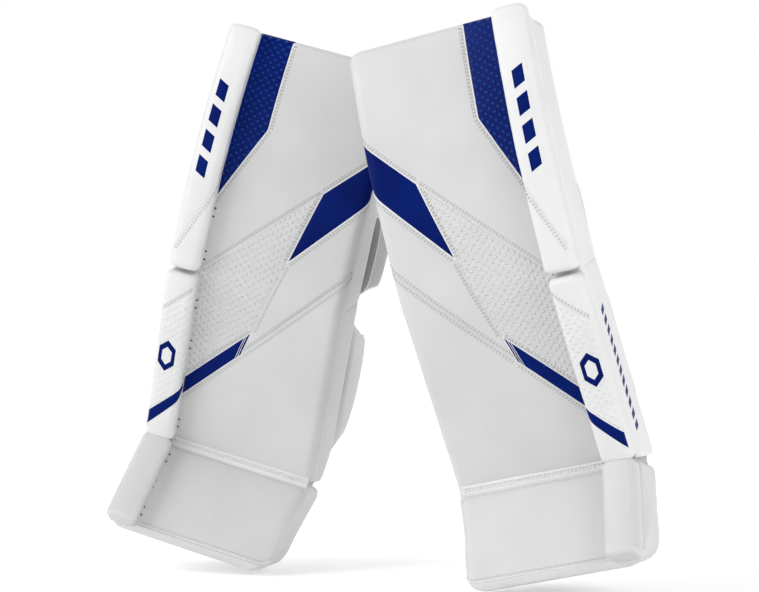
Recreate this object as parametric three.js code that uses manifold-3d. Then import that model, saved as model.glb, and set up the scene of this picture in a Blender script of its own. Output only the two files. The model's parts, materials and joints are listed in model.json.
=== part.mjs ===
// A pair of ice hockey goalie leg pads, leaning on each other like the two sides of the letter A.
// Units are millimetres. The floor is z = 0, the pads face -Y, and +X is to the right of someone who faces
// them. Each pad is built once, in its own frame, and mirrored for the other leg: x runs from the inner
// edge of the pad (negative) to its outer edge (positive), y runs back from the face towards the leg, and
// z is up.
import * as THREE from "three";
import { mergeVertices } from "three/addons/utils/BufferGeometryUtils.js";
import Module from "manifold-3d";

const wasm = await Module();
wasm.setup();

// ---- Driving dimensions ----
const PAD_WIDTH = 279; // the widest leg pad that the rules of the game allow
const HALF = PAD_WIDTH / 2;
const PAD_DEPTH = 78; // foam and covers together, behind the face
const SKIN = 2.2; // synthetic leather with its backing
const GAP = 0.4; // air kept between neighbouring solids

// Lengths along the face: from the toe to the ankle crease, on to the knee break, and on to the top.
const BOOT_FACE = 169;
const SHIN_FACE = 289;
const THIGH_FACE = 377;
const BOOT_LEAN = THREE.MathUtils.degToRad(31); // the toe reaches forward of the crease
const SHIN_LEAN = THREE.MathUtils.degToRad(18.5); // the knee leans forward over the toe
const THIGH_LEAN = THREE.MathUtils.degToRad(8.5);
const THIGH_STRAIGHT = 85; // the thigh rise is straight this far, then curves back towards the leg
const THIGH_RADIUS = 900;
const THIGH_TOP_DEPTH = 58; // the thigh rise gets thinner towards its top
const TOE_LIP = 13; // height of the upright band round the toe
const TOE_TAPER = 15; // the boot narrows by this much on its inner side, from the crease to the floor
const ANKLE_GAP = 1.5; // between the shin and the boot at the crease
const SOLE_HEEL = 12; // how far behind the crease the sole ends

const KNEE_WEDGE = Math.tan(THREE.MathUtils.degToRad(9.5)); // relief cut on each side of the knee break
const BOOT_WEDGE = THREE.MathUtils.degToRad(5.5); // half of the relief cut behind the ankle crease

const ROLL_WIDTH = 46; // the outer roll stands proud of the face along its outer edge
const ROLL_HEIGHT = 27;
const ROLL_BREAK = 5; // half of the opening between two lengths of roll
const ROLL_X = [HALF - ROLL_WIDTH, HALF - 1];
const ROLL_Y = [-ROLL_HEIGHT, -GAP];
const ROLL_EDGES = { radius: 10, bevel: 7 };
const LACE_DIAMETER = 4;
const LACE_X = [HALF - ROLL_WIDTH - LACE_DIAMETER - 1, HALF - ROLL_WIDTH - 1];
const LACE_Y = [-LACE_DIAMETER - GAP, -GAP];
const LACE_EDGES = { radius: 1.9, bevel: 0 };

const WING_THICKNESS = 24;
const WING_WRAP = 0.37; // the outer wings close in around the leg this much per millimetre they reach back
const CALF_WING_REACH = 95; // how far the calf wings reach behind the foam
const KNEE_REACH = 78; // how far the knee wing reaches behind the foam
const KNEE_BLOCK_REACH = 118;
const KNEE_BLOCK_WIDTH = 54;
const KNEE_STRAP_LENGTH = 212;
const BOOT_TAB_INSET = 27; // the tabs that hold the boot strap stand this far in from the pad's edges
const CALF_STRAPS = { upper_calf_strap: 170, lower_calf_strap: 112 }; // heights above the crease
const STRAP_WIDTH = 38;
const STRAP_THICKNESS = 3;

const CREASE_Z = BOOT_FACE * Math.cos(BOOT_LEAN);
const BOOT_FACE_TO_LIP = (CREASE_Z - TOE_LIP) / Math.cos(BOOT_LEAN);
const BOOT_SHELF = Math.tan((BOOT_LEAN - SHIN_LEAN) / 2 + BOOT_WEDGE); // fall of the boot's top face
const BOOT_REAR_SLOPE = (PAD_DEPTH - SOLE_HEEL) / (CREASE_Z - ANKLE_GAP - PAD_DEPTH * BOOT_SHELF);
const CRADLE_FOOT = 14 + 60 * KNEE_WEDGE;
const DEPTH_LOST = (PAD_DEPTH - THIGH_TOP_DEPTH) / THIGH_FACE; // per millimetre up the thigh rise
const THIGH_STATIONS = [0, 0.2, 0.36, 0.52, 0.68, 0.84, 1]; // shares of the thigh's length with points
const KNEE = { y: -SHIN_FACE * Math.sin(SHIN_LEAN), z: CREASE_Z + SHIN_FACE * Math.cos(SHIN_LEAN) };

// Where the pads stand, one in front of the other. Turns about the vertical and tilts are in degrees.
const LEFT_LEG = { side: 1, x: 281, y: -36, turn: -9.9, tilt: -11.9 };
const RIGHT_LEG = { side: -1, x: -310, y: 158, turn: -4.1, tilt: 15.9 };

// ---- Materials ----
const material = (color, roughness) => new THREE.MeshStandardMaterial({ color, roughness, metalness: 0 });
const whiteLeather = material(0xf1f1f1, 0.45);
const foam = material(0xd9d4c4, 0.95);
const liner = material(0xb9bcc0, 0.9);
const kneeFabric = material(0xc9cbce, 0.85);
const webbing = material(0xe4e4e4, 0.8);
const plastic = material(0x16181c, 0.35);
const lace = material(0x1a1a1a, 0.8);

// ---- Shapes ----
// A rectangle with round corners in the xy plane.
function roundedRectangle(x0, x1, y0, y1, radius) {
  const shape = new THREE.Shape();
  shape.moveTo(x0 + radius, y0);
  shape.lineTo(x1 - radius, y0);
  shape.absarc(x1 - radius, y0 + radius, radius, -Math.PI / 2, 0);
  shape.lineTo(x1, y1 - radius);
  shape.absarc(x1 - radius, y1 - radius, radius, 0, Math.PI / 2);
  shape.lineTo(x0 + radius, y1);
  shape.absarc(x0 + radius, y1 - radius, radius, Math.PI / 2, Math.PI);
  shape.lineTo(x0, y0 + radius);
  shape.absarc(x0 + radius, y0 + radius, radius, Math.PI, Math.PI * 1.5);
  return shape;
}

// Extrudes a shape by depth, with its ends and edges bevelled inside the given outline.
function extrude(shape, depth, bevel, steps = 1) {
  const round = Math.max(bevel, 0);
  return new THREE.ExtrudeGeometry(shape, {
    depth: depth - 2 * round,
    steps,
    curveSegments: 3,
    bevelEnabled: round > 0,
    bevelThickness: round,
    bevelSize: round,
    bevelOffset: -round,
    bevelSegments: 2,
  }).translate(0, 0, round);
}

// A bar with a rounded section that runs up the pad, from z0 to z1.
function bar(x, y, z, { radius = 4, bevel = 3, steps = 1 } = {}) {
  const section = roundedRectangle(x[0], x[1], y[0], y[1], radius);
  return extrude(section, z[1] - z[0], bevel, steps).translate(0, 0, z[0]);
}

// A slab whose side outline is given as [y, z] points, running across the pad from x[0] to x[1].
function slab(outline, x, bevel = 0) {
  const shape = new THREE.Shape(outline.map(([y, z]) => new THREE.Vector2(y, z)));
  const across = new THREE.Matrix4().set(0, 0, 1, 0, 1, 0, 0, 0, 0, 1, 0, 0, 0, 0, 0, 1);
  return extrude(shape, x[1] - x[0], bevel).applyMatrix4(across).translate(x[0], 0, 0);
}

// The thigh rise curves back: z becomes the length along its face, and y stays square to the face.
function curveBack(geometry) {
  const position = geometry.getAttribute("position");
  for (let i = 0; i < position.count; i += 1) {
    const length = position.getZ(i);
    const depth = position.getY(i);
    if (length > THIGH_STRAIGHT) {
      const turn = (length - THIGH_STRAIGHT) / THIGH_RADIUS;
      const radius = THIGH_RADIUS - depth;
      position.setY(i, THIGH_RADIUS - radius * Math.cos(turn));
      position.setZ(i, THIGH_STRAIGHT + radius * Math.sin(turn));
    }
  }
  geometry.computeVertexNormals();
  return geometry;
}

function solid(geometry) {
  const bare = new THREE.BufferGeometry();
  const source = geometry.index ? geometry.toNonIndexed() : geometry;
  bare.setAttribute("position", source.getAttribute("position"));
  const merged = mergeVertices(bare, 1e-4);
  const triVerts = new Uint32Array(merged.index.array);
  const vertProperties = merged.getAttribute("position").array;
  return new wasm.Manifold(new wasm.Mesh({ numProp: 3, vertProperties, triVerts }));
}

function geometryOf(manifold) {
  const mesh = manifold.getMesh();
  const geometry = new THREE.BufferGeometry();
  geometry.setAttribute("position", new THREE.BufferAttribute(mesh.vertProperties, 3));
  geometry.setIndex(new THREE.BufferAttribute(mesh.triVerts, 1));
  geometry.computeVertexNormals();
  return geometry;
}

function cut(body, ...tools) {
  return geometryOf(tools.reduce((left, tool) => left.subtract(solid(tool)), solid(body)));
}

// ---- Outlines of the foam, seen from the side, as [y, z] ----
// Each starts at the front and is set in from the leather by `inset`; `back` is its rear face's depth.
const shinOutline = (inset, back) => [
  [inset, ANKLE_GAP + inset * 0.5],
  [inset, SHIN_FACE - GAP - inset * KNEE_WEDGE],
  [back, SHIN_FACE - GAP - back * KNEE_WEDGE],
  [back, ANKLE_GAP - back * Math.tan(SHIN_LEAN + (BOOT_LEAN - SHIN_LEAN) / 2 - BOOT_WEDGE)],
];

function thighOutline(inset, back, top) {
  const rear = THIGH_STATIONS.slice(1).map((share) => [back - share * top * DEPTH_LOST, share * top]);
  const front = THIGH_STATIONS.slice(1).map((share) => [inset, share * top]);
  return [[inset, GAP + inset * KNEE_WEDGE], ...front, ...rear.reverse(), [back, GAP + back * KNEE_WEDGE]];
}

// The boot's outline is upright, with the crease at [0, 0] and the floor at -CREASE_Z.
function bootOutline(inset, back) {
  const toeDrop = CREASE_Z - TOE_LIP;
  const toeReach = toeDrop * Math.tan(BOOT_LEAN);
  const floor = inset - CREASE_Z;
  return [
    [inset, -ANKLE_GAP - inset * BOOT_SHELF],
    [inset - toeReach, -toeDrop],
    [inset - toeReach - 2, floor],
    [SOLE_HEEL, floor],
    [back, -ANKLE_GAP - back * BOOT_SHELF],
  ];
}

function rearPanelOutline(b, thickness) {
  const heights = [168, 214, 260, 306, 352];
  const front = heights.map((z) => [b - z * DEPTH_LOST, z]);
  const rear = heights.map((z) => [b + thickness - z * DEPTH_LOST, z]);
  return [...front, ...rear.reverse()];
}

// ---- Hollows that turn a body into a leather cover: open behind, and at the ends that face a break ----
const BEYOND = 60;
const shinHollow = () => [
  [SKIN, -BEYOND],
  [SKIN, SHIN_FACE + BEYOND],
  [PAD_DEPTH + BEYOND, SHIN_FACE + BEYOND],
  [PAD_DEPTH + BEYOND, -BEYOND],
];

function thighHollow() {
  const top = THIGH_FACE - SKIN;
  const front = THIGH_STATIONS.map((share) => [SKIN, share * top]);
  return [[SKIN, -BEYOND], ...front, [PAD_DEPTH + BEYOND, top], [PAD_DEPTH + BEYOND, -BEYOND]];
}

function bootHollow() {
  const [crease, piping, toe] = bootOutline(SKIN, PAD_DEPTH);
  return [[SKIN, BEYOND], crease, piping, toe, [PAD_DEPTH + BEYOND, toe[1]], [PAD_DEPTH + BEYOND, BEYOND]];
}

// The boot narrows towards the toe on its inner side.
function taperToe(geometry) {
  const position = geometry.getAttribute("position");
  for (let i = 0; i < position.count; i += 1) {
    const x = position.getX(i);
    if (x < 0) {
      position.setX(i, x * (1 + (TOE_TAPER / HALF) * (position.getZ(i) / CREASE_Z)));
    }
  }
  return geometry;
}

// ---- Outlines of the wings and cradle behind the foam, as [y, z]; `b` is the depth they start from ----
const calfWingOutline = (b) => [
  [b, 36],
  [b + 64, 47],
  [b + 84, 75],
  [b + CALF_WING_REACH - 3, 121],
  [b + CALF_WING_REACH, 177],
  [b + CALF_WING_REACH - 3, 190],
  [b, 253],
];

const cradleOutline = (b, reach, top) => [
  [b, CRADLE_FOOT],
  [b - top * DEPTH_LOST, top],
  [b + reach - 20, top],
  [b + reach, top - 20],
  [b + reach, CRADLE_FOOT + 14],
  [b + reach - 12, CRADLE_FOOT],
];

// The boot's foam slopes forward to the heel; this is its rear face at a height above the floor.
const bootRear = (height, clear) => SOLE_HEEL + clear + height * BOOT_REAR_SLOPE;

// A panel that follows the slope of the boot's rear face, and drops as it reaches back.
const bootPanel = (low, high, thickness, drop) => [
  [bootRear(low, 1), low - CREASE_Z],
  [bootRear(high, 1), high - CREASE_Z],
  [bootRear(high, 1 + thickness), high - drop - CREASE_Z],
  [bootRear(low, 1 + thickness), low - drop - CREASE_Z],
];

const bootTab = (low, high, reach) => [
  [bootRear(low, 1), low - CREASE_Z],
  [bootRear(high, 1), high - CREASE_Z],
  [bootRear(high, reach), high - 4 - CREASE_Z],
  [bootRear(high, reach), low - 4 - CREASE_Z],
];

// ---- One pad ----
function buildPad(leg, stand) {
  const boot = new THREE.Group();
  const bootFace = new THREE.Group();
  const shin = new THREE.Group();
  const thigh = new THREE.Group();
  boot.position.set(0, 0, CREASE_Z);
  bootFace.rotation.x = -BOOT_LEAN;
  shin.position.set(0, 0, CREASE_Z);
  shin.rotation.x = SHIN_LEAN;
  thigh.position.set(0, KNEE.y, KNEE.z);
  thigh.rotation.x = THIGH_LEAN;
  boot.add(bootFace);

  const add = (group, name, geometry, look) => {
    const mesh = new THREE.Mesh(geometry, look);
    mesh.name = `${leg}_${name}`;
    group.add(mesh);
  };
  const across = (inset) => [-HALF + inset, HALF - inset];
  const core = across(SKIN + GAP);
  const inset = SKIN + GAP;
  const innerWing = [-HALF + 2, -HALF + 2 + WING_THICKNESS];
  const outerWing = [HALF - 2 - WING_THICKNESS, HALF - 2];
  const behind = PAD_DEPTH + GAP;
  const wrap = new THREE.Matrix4().makeShear(0, 0, -WING_WRAP, 0, 0, 0);
  const wrapInward = (geometry) => geometry.applyMatrix4(wrap).translate(WING_WRAP * behind, 0, 0);

  // A strap with its buckle. It is square to y, the depth of its front face, and centred on z.
  const addStrap = (group, name, x, y, z) => {
    const strapY = [y, y + STRAP_THICKNESS];
    const strapZ = [z - STRAP_WIDTH / 2, z + STRAP_WIDTH / 2];
    const buckleX = [x[1] - 74, x[1] - 44];
    const buckleY = [strapY[1] + GAP, strapY[1] + GAP + 5];
    const buckleZ = [strapZ[0] - 3, strapZ[1] + 3];
    add(group, name, bar(x, strapY, strapZ, { radius: 1.2, bevel: 1 }), webbing);
    add(group, `${name}_buckle`, bar(buckleX, buckleY, buckleZ, { radius: 2, bevel: 1 }), plastic);
  };

  // Shin: foam, cover, outer roll and its lace, and the liner of the leg channel.
  const shinBody = slab(shinOutline(0, PAD_DEPTH), across(0));
  const shinRollSpan = [ROLL_BREAK + 5, SHIN_FACE - ROLL_BREAK];
  const linerEdges = { radius: 7, bevel: 5 };
  add(shin, "shin_core", slab(shinOutline(inset, PAD_DEPTH), core), foam);
  add(shin, "shin_cover", cut(shinBody, slab(shinHollow(), across(SKIN))), whiteLeather);
  add(shin, "shin_roll", bar(ROLL_X, ROLL_Y, shinRollSpan, ROLL_EDGES), whiteLeather);
  add(shin, "shin_roll_lace", bar(LACE_X, LACE_Y, shinRollSpan, LACE_EDGES), lace);
  add(shin, "shin_liner", bar([-84, 84], [behind, behind + 16], [12, 258], linerEdges), liner);

  // Calf wings, and the two straps that close the leg channel between them.
  add(shin, "inner_calf_wing", slab(calfWingOutline(behind), innerWing, 6), whiteLeather);
  add(shin, "outer_calf_wing", wrapInward(slab(calfWingOutline(behind), outerWing, 6)), whiteLeather);
  const strapX = [innerWing[0] + 6, outerWing[1] - 2 - WING_WRAP * CALF_WING_REACH];
  for (const [name, z] of Object.entries(CALF_STRAPS)) {
    addStrap(shin, name, strapX, behind + CALF_WING_REACH + 1, z);
  }

  // Thigh rise: foam, cover, outer roll and its lace, and the rear panel above the knee cradle.
  const thighTop = THIGH_FACE - inset;
  const thighBody = curveBack(slab(thighOutline(0, PAD_DEPTH, THIGH_FACE), across(0)));
  const thighHollowBody = curveBack(slab(thighHollow(), across(SKIN)));
  const thighRoll = bar(ROLL_X, ROLL_Y, [ROLL_BREAK, THIGH_FACE - 1], { ...ROLL_EDGES, steps: 8 });
  const thighLace = bar(LACE_X, LACE_Y, [ROLL_BREAK, THIGH_FACE - 40], { ...LACE_EDGES, steps: 8 });
  add(thigh, "thigh_core", curveBack(slab(thighOutline(inset, PAD_DEPTH, thighTop), core)), foam);
  add(thigh, "thigh_cover", cut(thighBody, thighHollowBody), whiteLeather);
  add(thigh, "thigh_roll", curveBack(thighRoll), whiteLeather);
  add(thigh, "thigh_roll_lace", curveBack(thighLace), lace);
  add(thigh, "thigh_rear_panel", curveBack(slab(rearPanelOutline(behind + 1, 12), [-112, 112], 3)), liner);

  // Knee cradle: the landing block on the inner side, the cushion, and the outer wing with its strap.
  const kneeBlockX = [innerWing[0], innerWing[0] + KNEE_BLOCK_WIDTH];
  const kneeBlock = slab(cradleOutline(behind, KNEE_BLOCK_REACH, 150), kneeBlockX, 6);
  const kneeWing = wrapInward(slab(cradleOutline(behind, KNEE_REACH, 140), outerWing, 6));
  add(thigh, "knee_block", curveBack(kneeBlock), kneeFabric);
  add(thigh, "knee_cushion", curveBack(slab(cradleOutline(behind, 26, 146), [-76, 78], 6)), liner);
  add(thigh, "knee_wing", curveBack(kneeWing), whiteLeather);
  const kneeStrap = new THREE.Group();
  kneeStrap.position.set(outerWing[1] - 2 - WING_WRAP * KNEE_REACH, behind + KNEE_REACH + 4, 80);
  kneeStrap.rotation.z = -Math.asin((KNEE_BLOCK_REACH - KNEE_REACH + 2) / KNEE_STRAP_LENGTH);
  thigh.add(kneeStrap);
  addStrap(kneeStrap, "knee_strap", [-KNEE_STRAP_LENGTH, 0], 0, 0);

  // Boot: foam, cover, outer roll, liner, toe bridge, and the two tabs with the strap behind the skate.
  const bootBody = taperToe(slab(bootOutline(0, PAD_DEPTH), across(0)));
  const bootHollowBody = taperToe(slab(bootHollow(), across(SKIN)));
  const bootRollSpan = [1 - BOOT_FACE_TO_LIP, -ROLL_BREAK - 8];
  const tabX = [HALF - BOOT_TAB_INSET - 12, HALF - BOOT_TAB_INSET];
  add(boot, "boot_core", taperToe(slab(bootOutline(inset, PAD_DEPTH), core)), foam);
  add(boot, "boot_cover", cut(bootBody, bootHollowBody), whiteLeather);
  add(bootFace, "boot_roll", bar(ROLL_X, ROLL_Y, bootRollSpan, ROLL_EDGES), whiteLeather);
  add(boot, "boot_liner", slab(bootPanel(24, 112, 14, 5), [-84, 84], 4), liner);
  add(boot, "toe_bridge", slab(bootPanel(5, 15, 19, 0), [-60, 60], 1), plastic);
  add(boot, "inner_boot_tab", slab(bootTab(56, 100, 60), [-tabX[1], -tabX[0]], 3), whiteLeather);
  add(boot, "outer_boot_tab", slab(bootTab(56, 100, 60), tabX, 3), whiteLeather);
  addStrap(boot, "boot_strap", across(BOOT_TAB_INSET + 3), bootRear(100, 61), 74 - CREASE_Z);

  const pad = new THREE.Group();
  pad.add(boot, shin, thigh);
  pad.scale.x = stand.side;
  const tilt = THREE.MathUtils.degToRad(stand.tilt);
  const turn = THREE.MathUtils.degToRad(stand.turn);
  pad.rotation.set(0, tilt, turn, "ZYX");
  pad.position.set(stand.x, stand.y, 0);
  pad.position.z = -new THREE.Box3().setFromObject(pad, true).min.z;
  return pad;
}

// The frame starts under the middle of the pair, on the floor.
const goaliePads = new THREE.Group();
goaliePads.add(buildPad("left", LEFT_LEG), buildPad("right", RIGHT_LEG));
const middle = new THREE.Box3().setFromObject(goaliePads, true).getCenter(new THREE.Vector3());
goaliePads.position.set(-middle.x, -middle.y, 0);

export default goaliePads;
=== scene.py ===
"""A pair of ice hockey goalie leg pads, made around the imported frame: leather covers with set-in panels,
piping and stitching, lengths of outer roll, and padded wings, liners and knee cradles behind them. Sizes are
in millimetres in each pad's own upright frame: x runs from the middle of the pad out to its roll, y back from
the ankle crease, z up. A place on a surface is (w, s): w across it and s along the face, above the crease."""
import json
import math

import bmesh
import bpy
import numpy as np
from mathutils import Matrix, Vector
from mathutils.bvhtree import BVHTree


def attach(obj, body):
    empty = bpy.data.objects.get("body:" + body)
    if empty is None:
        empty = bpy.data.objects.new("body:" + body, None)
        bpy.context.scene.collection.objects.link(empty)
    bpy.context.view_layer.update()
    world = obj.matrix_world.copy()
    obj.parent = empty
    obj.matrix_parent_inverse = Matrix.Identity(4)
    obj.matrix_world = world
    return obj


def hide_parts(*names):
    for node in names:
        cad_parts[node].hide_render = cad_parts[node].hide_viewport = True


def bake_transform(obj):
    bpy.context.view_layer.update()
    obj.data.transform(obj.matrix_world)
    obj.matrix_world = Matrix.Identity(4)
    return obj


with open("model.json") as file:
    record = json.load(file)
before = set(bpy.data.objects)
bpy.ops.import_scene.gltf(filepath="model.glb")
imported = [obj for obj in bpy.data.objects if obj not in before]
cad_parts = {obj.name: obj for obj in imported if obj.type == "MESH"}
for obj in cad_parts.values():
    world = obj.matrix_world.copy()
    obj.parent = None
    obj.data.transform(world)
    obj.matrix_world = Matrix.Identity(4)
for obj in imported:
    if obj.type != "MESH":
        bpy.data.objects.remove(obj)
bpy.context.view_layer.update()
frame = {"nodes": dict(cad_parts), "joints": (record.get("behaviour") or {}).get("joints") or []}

MM = 0.001
LEGS = {"left": 1, "right": -1}

# ---- Sizes of a pad, which repeat the CAD model's ----
HALF = 139.5
DEPTH = 78.0
TOP_DEPTH = 58.0
BOOT_FACE, SHIN_FACE, THIGH_FACE = 169.0, 289.0, 377.0
TOP = SHIN_FACE + THIGH_FACE
BOOT_LEAN, SHIN_LEAN, THIGH_LEAN = math.radians(31), math.radians(18.5), math.radians(8.5)
THIGH_STRAIGHT, THIGH_RADIUS = 85.0, 900.0
CREASE_Z = BOOT_FACE * math.cos(BOOT_LEAN)
TOE_LIP, TOE_TAPER = 13.0, 15.0
SOLE_HEEL = 12.0
ANKLE_WEDGE = math.radians(5.5)
SHELF = math.tan((BOOT_LEAN - SHIN_LEAN) / 2 + ANKLE_WEDGE)
BEHIND = DEPTH + 0.4
WING_REACH, WING_WRAP, KNEE_REACH, KNEE_BLOCK_REACH = 95.0, 0.37, 78.0, 118.0
ROLL_IN, ROLL_OUT, ROLL_HEIGHT = HALF - 46.0, HALF - 1.0, 26.5
KNEE_SOFT = 22.0  # the face turns through the knee break over twice this length


# ---- Small helpers ----
def smooth(t):
    t = np.clip(t, 0.0, 1.0)
    return t * t * (3 - 2 * t)


def unit(vectors):
    return vectors / np.maximum(np.linalg.norm(vectors, axis=-1, keepdims=True), 1e-9)


def eased(points, rounds):
    """Evens out a closed run of points."""
    for _ in range(rounds):
        points = (np.roll(points, 1, 0) + 2 * points + np.roll(points, -1, 0)) / 4
    return points


def grid_faces(rows, columns, loop_rows=False, loop_columns=False, turned=False):
    """Faces over a grid of points. Its rows or columns may close on themselves."""
    faces = []
    for row in range(rows if loop_rows else rows - 1):
        for k in range(columns if loop_columns else columns - 1):
            low, high, after = row * columns, (row + 1) % rows * columns, (k + 1) % columns
            face = (low + k, low + after, high + after, high + k)
            faces.append(face[:1] + face[:0:-1] if turned else face)
    return faces


def joint(name):
    return next(j for j in frame["joints"] if j["name"] == name)


def pad_matrix(leg):
    """From the pad's own upright frame in millimetres to the row frame in metres. The right pad is mirrored."""
    ankle, knee = joint(f"{leg}_ankle_flex"), joint(f"{leg}_knee_break")
    across, crease = Vector(ankle["axis"]).normalized(), Vector(ankle["pos_m"])
    up = (Vector(knee["pos_m"]) - crease).normalized()
    back = up.cross(across)
    level = back * math.cos(SHIN_LEAN) - up * math.sin(SHIN_LEAN)
    upright = up * math.cos(SHIN_LEAN) + back * math.sin(SHIN_LEAN)
    turn = Matrix((across * LEGS[leg], level, upright)).transposed() * MM
    return Matrix.Translation(crease) @ turn.to_4x4()


PAD = {leg: np.array(pad_matrix(leg)) for leg in LEGS}


def to_row(leg, points):
    points = np.asarray(points, float)
    return points @ PAD[leg][:3, :3].T + PAD[leg][:3, 3]


class Shape:
    """A mesh in the pad's frame: points, faces, a material number for each face and a uv for each point."""

    def __init__(self, points, faces, looks=None, uv=None):
        self.points = np.asarray(points, float)
        self.faces = [tuple(f) for f in faces]
        self.looks = list(looks) if looks is not None else [0] * len(self.faces)
        self.uv = uv

    @staticmethod
    def joined(shapes):
        points, faces, looks, start = [], [], [], 0
        for shape in shapes:
            points.append(shape.points)
            faces += [tuple(i + start for i in f) for f in shape.faces]
            looks += shape.looks
            start += len(shape.points)
        return Shape(np.concatenate(points), faces, looks)


def make(name, leg, shape, materials, smooth_angle=50):
    """Makes the pad's piece from a shape. Faces are turned over on the mirrored pad."""
    mesh = bpy.data.meshes.new(f"{leg}_{name}")
    faces = shape.faces if LEGS[leg] > 0 else [f[::-1] for f in shape.faces]
    mesh.from_pydata(to_row(leg, shape.points).tolist(), [], faces)
    for m in materials:
        mesh.materials.append(m)
    mesh.polygons.foreach_set("material_index", np.array(shape.looks, np.int32))
    mesh.polygons.foreach_set("use_smooth", np.ones(len(faces), bool))
    if shape.uv is not None:
        layer = mesh.uv_layers.new(name="along_pad")
        corner = np.zeros(len(mesh.loops), np.int32)
        mesh.loops.foreach_get("vertex_index", corner)
        layer.data.foreach_set("uv", np.asarray(shape.uv, float)[corner].ravel())
    mesh.validate()
    if smooth_angle < 180:
        mesh.set_sharp_from_angle(angle=math.radians(smooth_angle))
    piece = bpy.data.objects.new(f"{leg}_{name}", mesh)
    bpy.context.scene.collection.objects.link(piece)
    return piece


# ---- The line of the face ----
def face_line():
    """Height, set-back and lean of the face at each millimetre s above the ankle crease."""
    s = np.arange(-40.0, TOP + 40.0)
    bend = smooth((s - SHIN_FACE + KNEE_SOFT) / (2 * KNEE_SOFT))
    lean = SHIN_LEAN + (THIGH_LEAN - SHIN_LEAN) * bend
    lean = lean - np.maximum(s - SHIN_FACE - THIGH_STRAIGHT, 0) / THIGH_RADIUS
    y, z = np.cumsum(-np.sin(lean)), np.cumsum(np.cos(lean))
    start = np.argmin(np.abs(s))
    return s, y - y[start], z - z[start], lean


FACE = face_line()


def on_leg(x, s, d, n=(0.0, -1.0)):
    """The point d behind the face of the shin or thigh at s, and the direction n = (across, back) there."""
    lean = np.interp(s, FACE[0], FACE[3])
    y = np.interp(s, FACE[0], FACE[1]) + d * np.cos(lean)
    z = np.interp(s, FACE[0], FACE[2]) + d * np.sin(lean)
    zero = 0 * (x + s + d)
    point = np.stack([x + zero, y + zero, z + zero], -1)
    normal = np.stack([n[0] + zero, n[1] * np.cos(lean) + zero, n[1] * np.sin(lean) + zero], -1)
    return point, normal


def on_boot(x, s, d, n=(0.0, -1.0)):
    """The same for the boot, whose face runs down and forward from the crease, so s is negative."""
    sin, cos = math.sin(BOOT_LEAN), math.cos(BOOT_LEAN)
    zero = 0 * (x + s + d)
    point = np.stack([x + zero, s * sin + d * cos, s * cos - d * sin], -1)
    normal = np.stack([n[0] + zero, n[1] * cos + zero, -n[1] * sin + zero], -1)
    return point, normal


# ---- Sections: straight runs joined by arcs ----
class Section:
    """A line through corners, each rounded with its radius, measured by its length w. The outside is on the
    right of the way it runs, and w is zero where it passes `zero`."""

    def __init__(self, corners, radii, closed, zero, step=0.5):
        corners = [np.array(c, float) for c in corners]
        points = []
        count = len(corners)
        for i, corner in enumerate(corners):
            if not closed and i in (0, count - 1):
                points.append(corner)
                continue
            before, after = corners[i - 1] - corner, corners[(i + 1) % count] - corner
            before, after = unit(before), unit(after)
            half = math.acos(np.clip(before @ after, -1, 1)) / 2
            run = radii[i] / math.tan(half)
            middle = corner + unit(before + after) * radii[i] / math.sin(half)
            a, b = corner + before * run - middle, corner + after * run - middle
            sweep = math.atan2(a[0] * b[1] - a[1] * b[0], a @ b)
            for t in np.linspace(0, 1, 13):
                c, s = math.cos(sweep * t), math.sin(sweep * t)
                points.append(middle + [a[0] * c - a[1] * s, a[0] * s + a[1] * c])
        if closed:
            points.append(points[0])
        points = np.array(points)
        w = np.concatenate([[0], np.cumsum(np.linalg.norm(np.diff(points, axis=0), axis=1))])
        self.length = w[-1]
        fine = np.arange(0, self.length, step)
        xy = np.stack([np.interp(fine, w, points[:, k]) for k in (0, 1)], -1)
        along = unit(np.gradient(xy, axis=0))
        normal = np.stack([along[:, 1], -along[:, 0]], -1)
        zero_at = fine[np.argmin(np.linalg.norm(xy - np.array(zero), axis=1))]
        self.w, self.xy, self.normal = fine - zero_at, xy, normal
        self.first, self.last = self.w[0], self.w[-1]

    def at(self, w):
        pick = [np.interp(w, self.w, a[:, k]) for a in (self.xy, self.normal) for k in (0, 1)]
        size = np.hypot(pick[2], pick[3])
        return pick[0], pick[1], pick[2] / size, pick[3] / size


# ---- Seams and panels of the face, as (u, s): u from the pad's inner edge ----
def at_u(*points):
    return [(u - HALF, s) for u, s in points]


EDGE_U = -8.6  # the piping of the inner edge, past the round of the edge
UNDER_ROLL = 237.0
TOP_STRIPE = at_u((180, 690), (179, 525), (227, 420), (UNDER_ROLL, 398), (UNDER_ROLL, 690))
DIAMOND = at_u((EDGE_U, 538), (70, 456), (101, 338), (EDGE_U, 465))
LOW_STRIPE = at_u((136, 216), (147, 175), (UNDER_ROLL, 76), (UNDER_ROLL, 107))
BAND = at_u((70, 456), (UNDER_ROLL, 287), (UNDER_ROLL, 107), (136, 216), (101, 338))
SEAMS = [  # each with the radius of its piping and the sides that have two rows of stitches
    (at_u((180, TOP - 4), (179, 525), (227, 420), (UNDER_ROLL, 398)), 0.95, (-1,)),
    (at_u((EDGE_U, 538), (70, 456)), 0.95, (1,)),
    (at_u((70, 456), (UNDER_ROLL, 287)), 0.6, (1,)),
    (at_u((70, 456), (101, 338)), 0.95, (1,)),
    (at_u((101, 338), (136, 216)), 0.5, (-1,)),
    (at_u((136, 216), (147, 175)), 0.8, ()),
    (at_u((EDGE_U, 465), (101, 338)), 0.95, (-1,)),
    (at_u((136, 216), (UNDER_ROLL, 107)), 0.8, (1,)),
    (at_u((147, 175), (UNDER_ROLL, 76)), 0.8, (-1,)),
    (at_u((EDGE_U, 352), (147, 175)), 0.35, (1, -1)),
]
FACE_SEAMS = [line for line, _, _ in SEAMS]
STRIPE_TRIM = [at_u((136 + k, 216 - 0.86 * k), (147 + k, 175 - 0.84 * k)) for k in (5.0, 8.5)]


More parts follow.
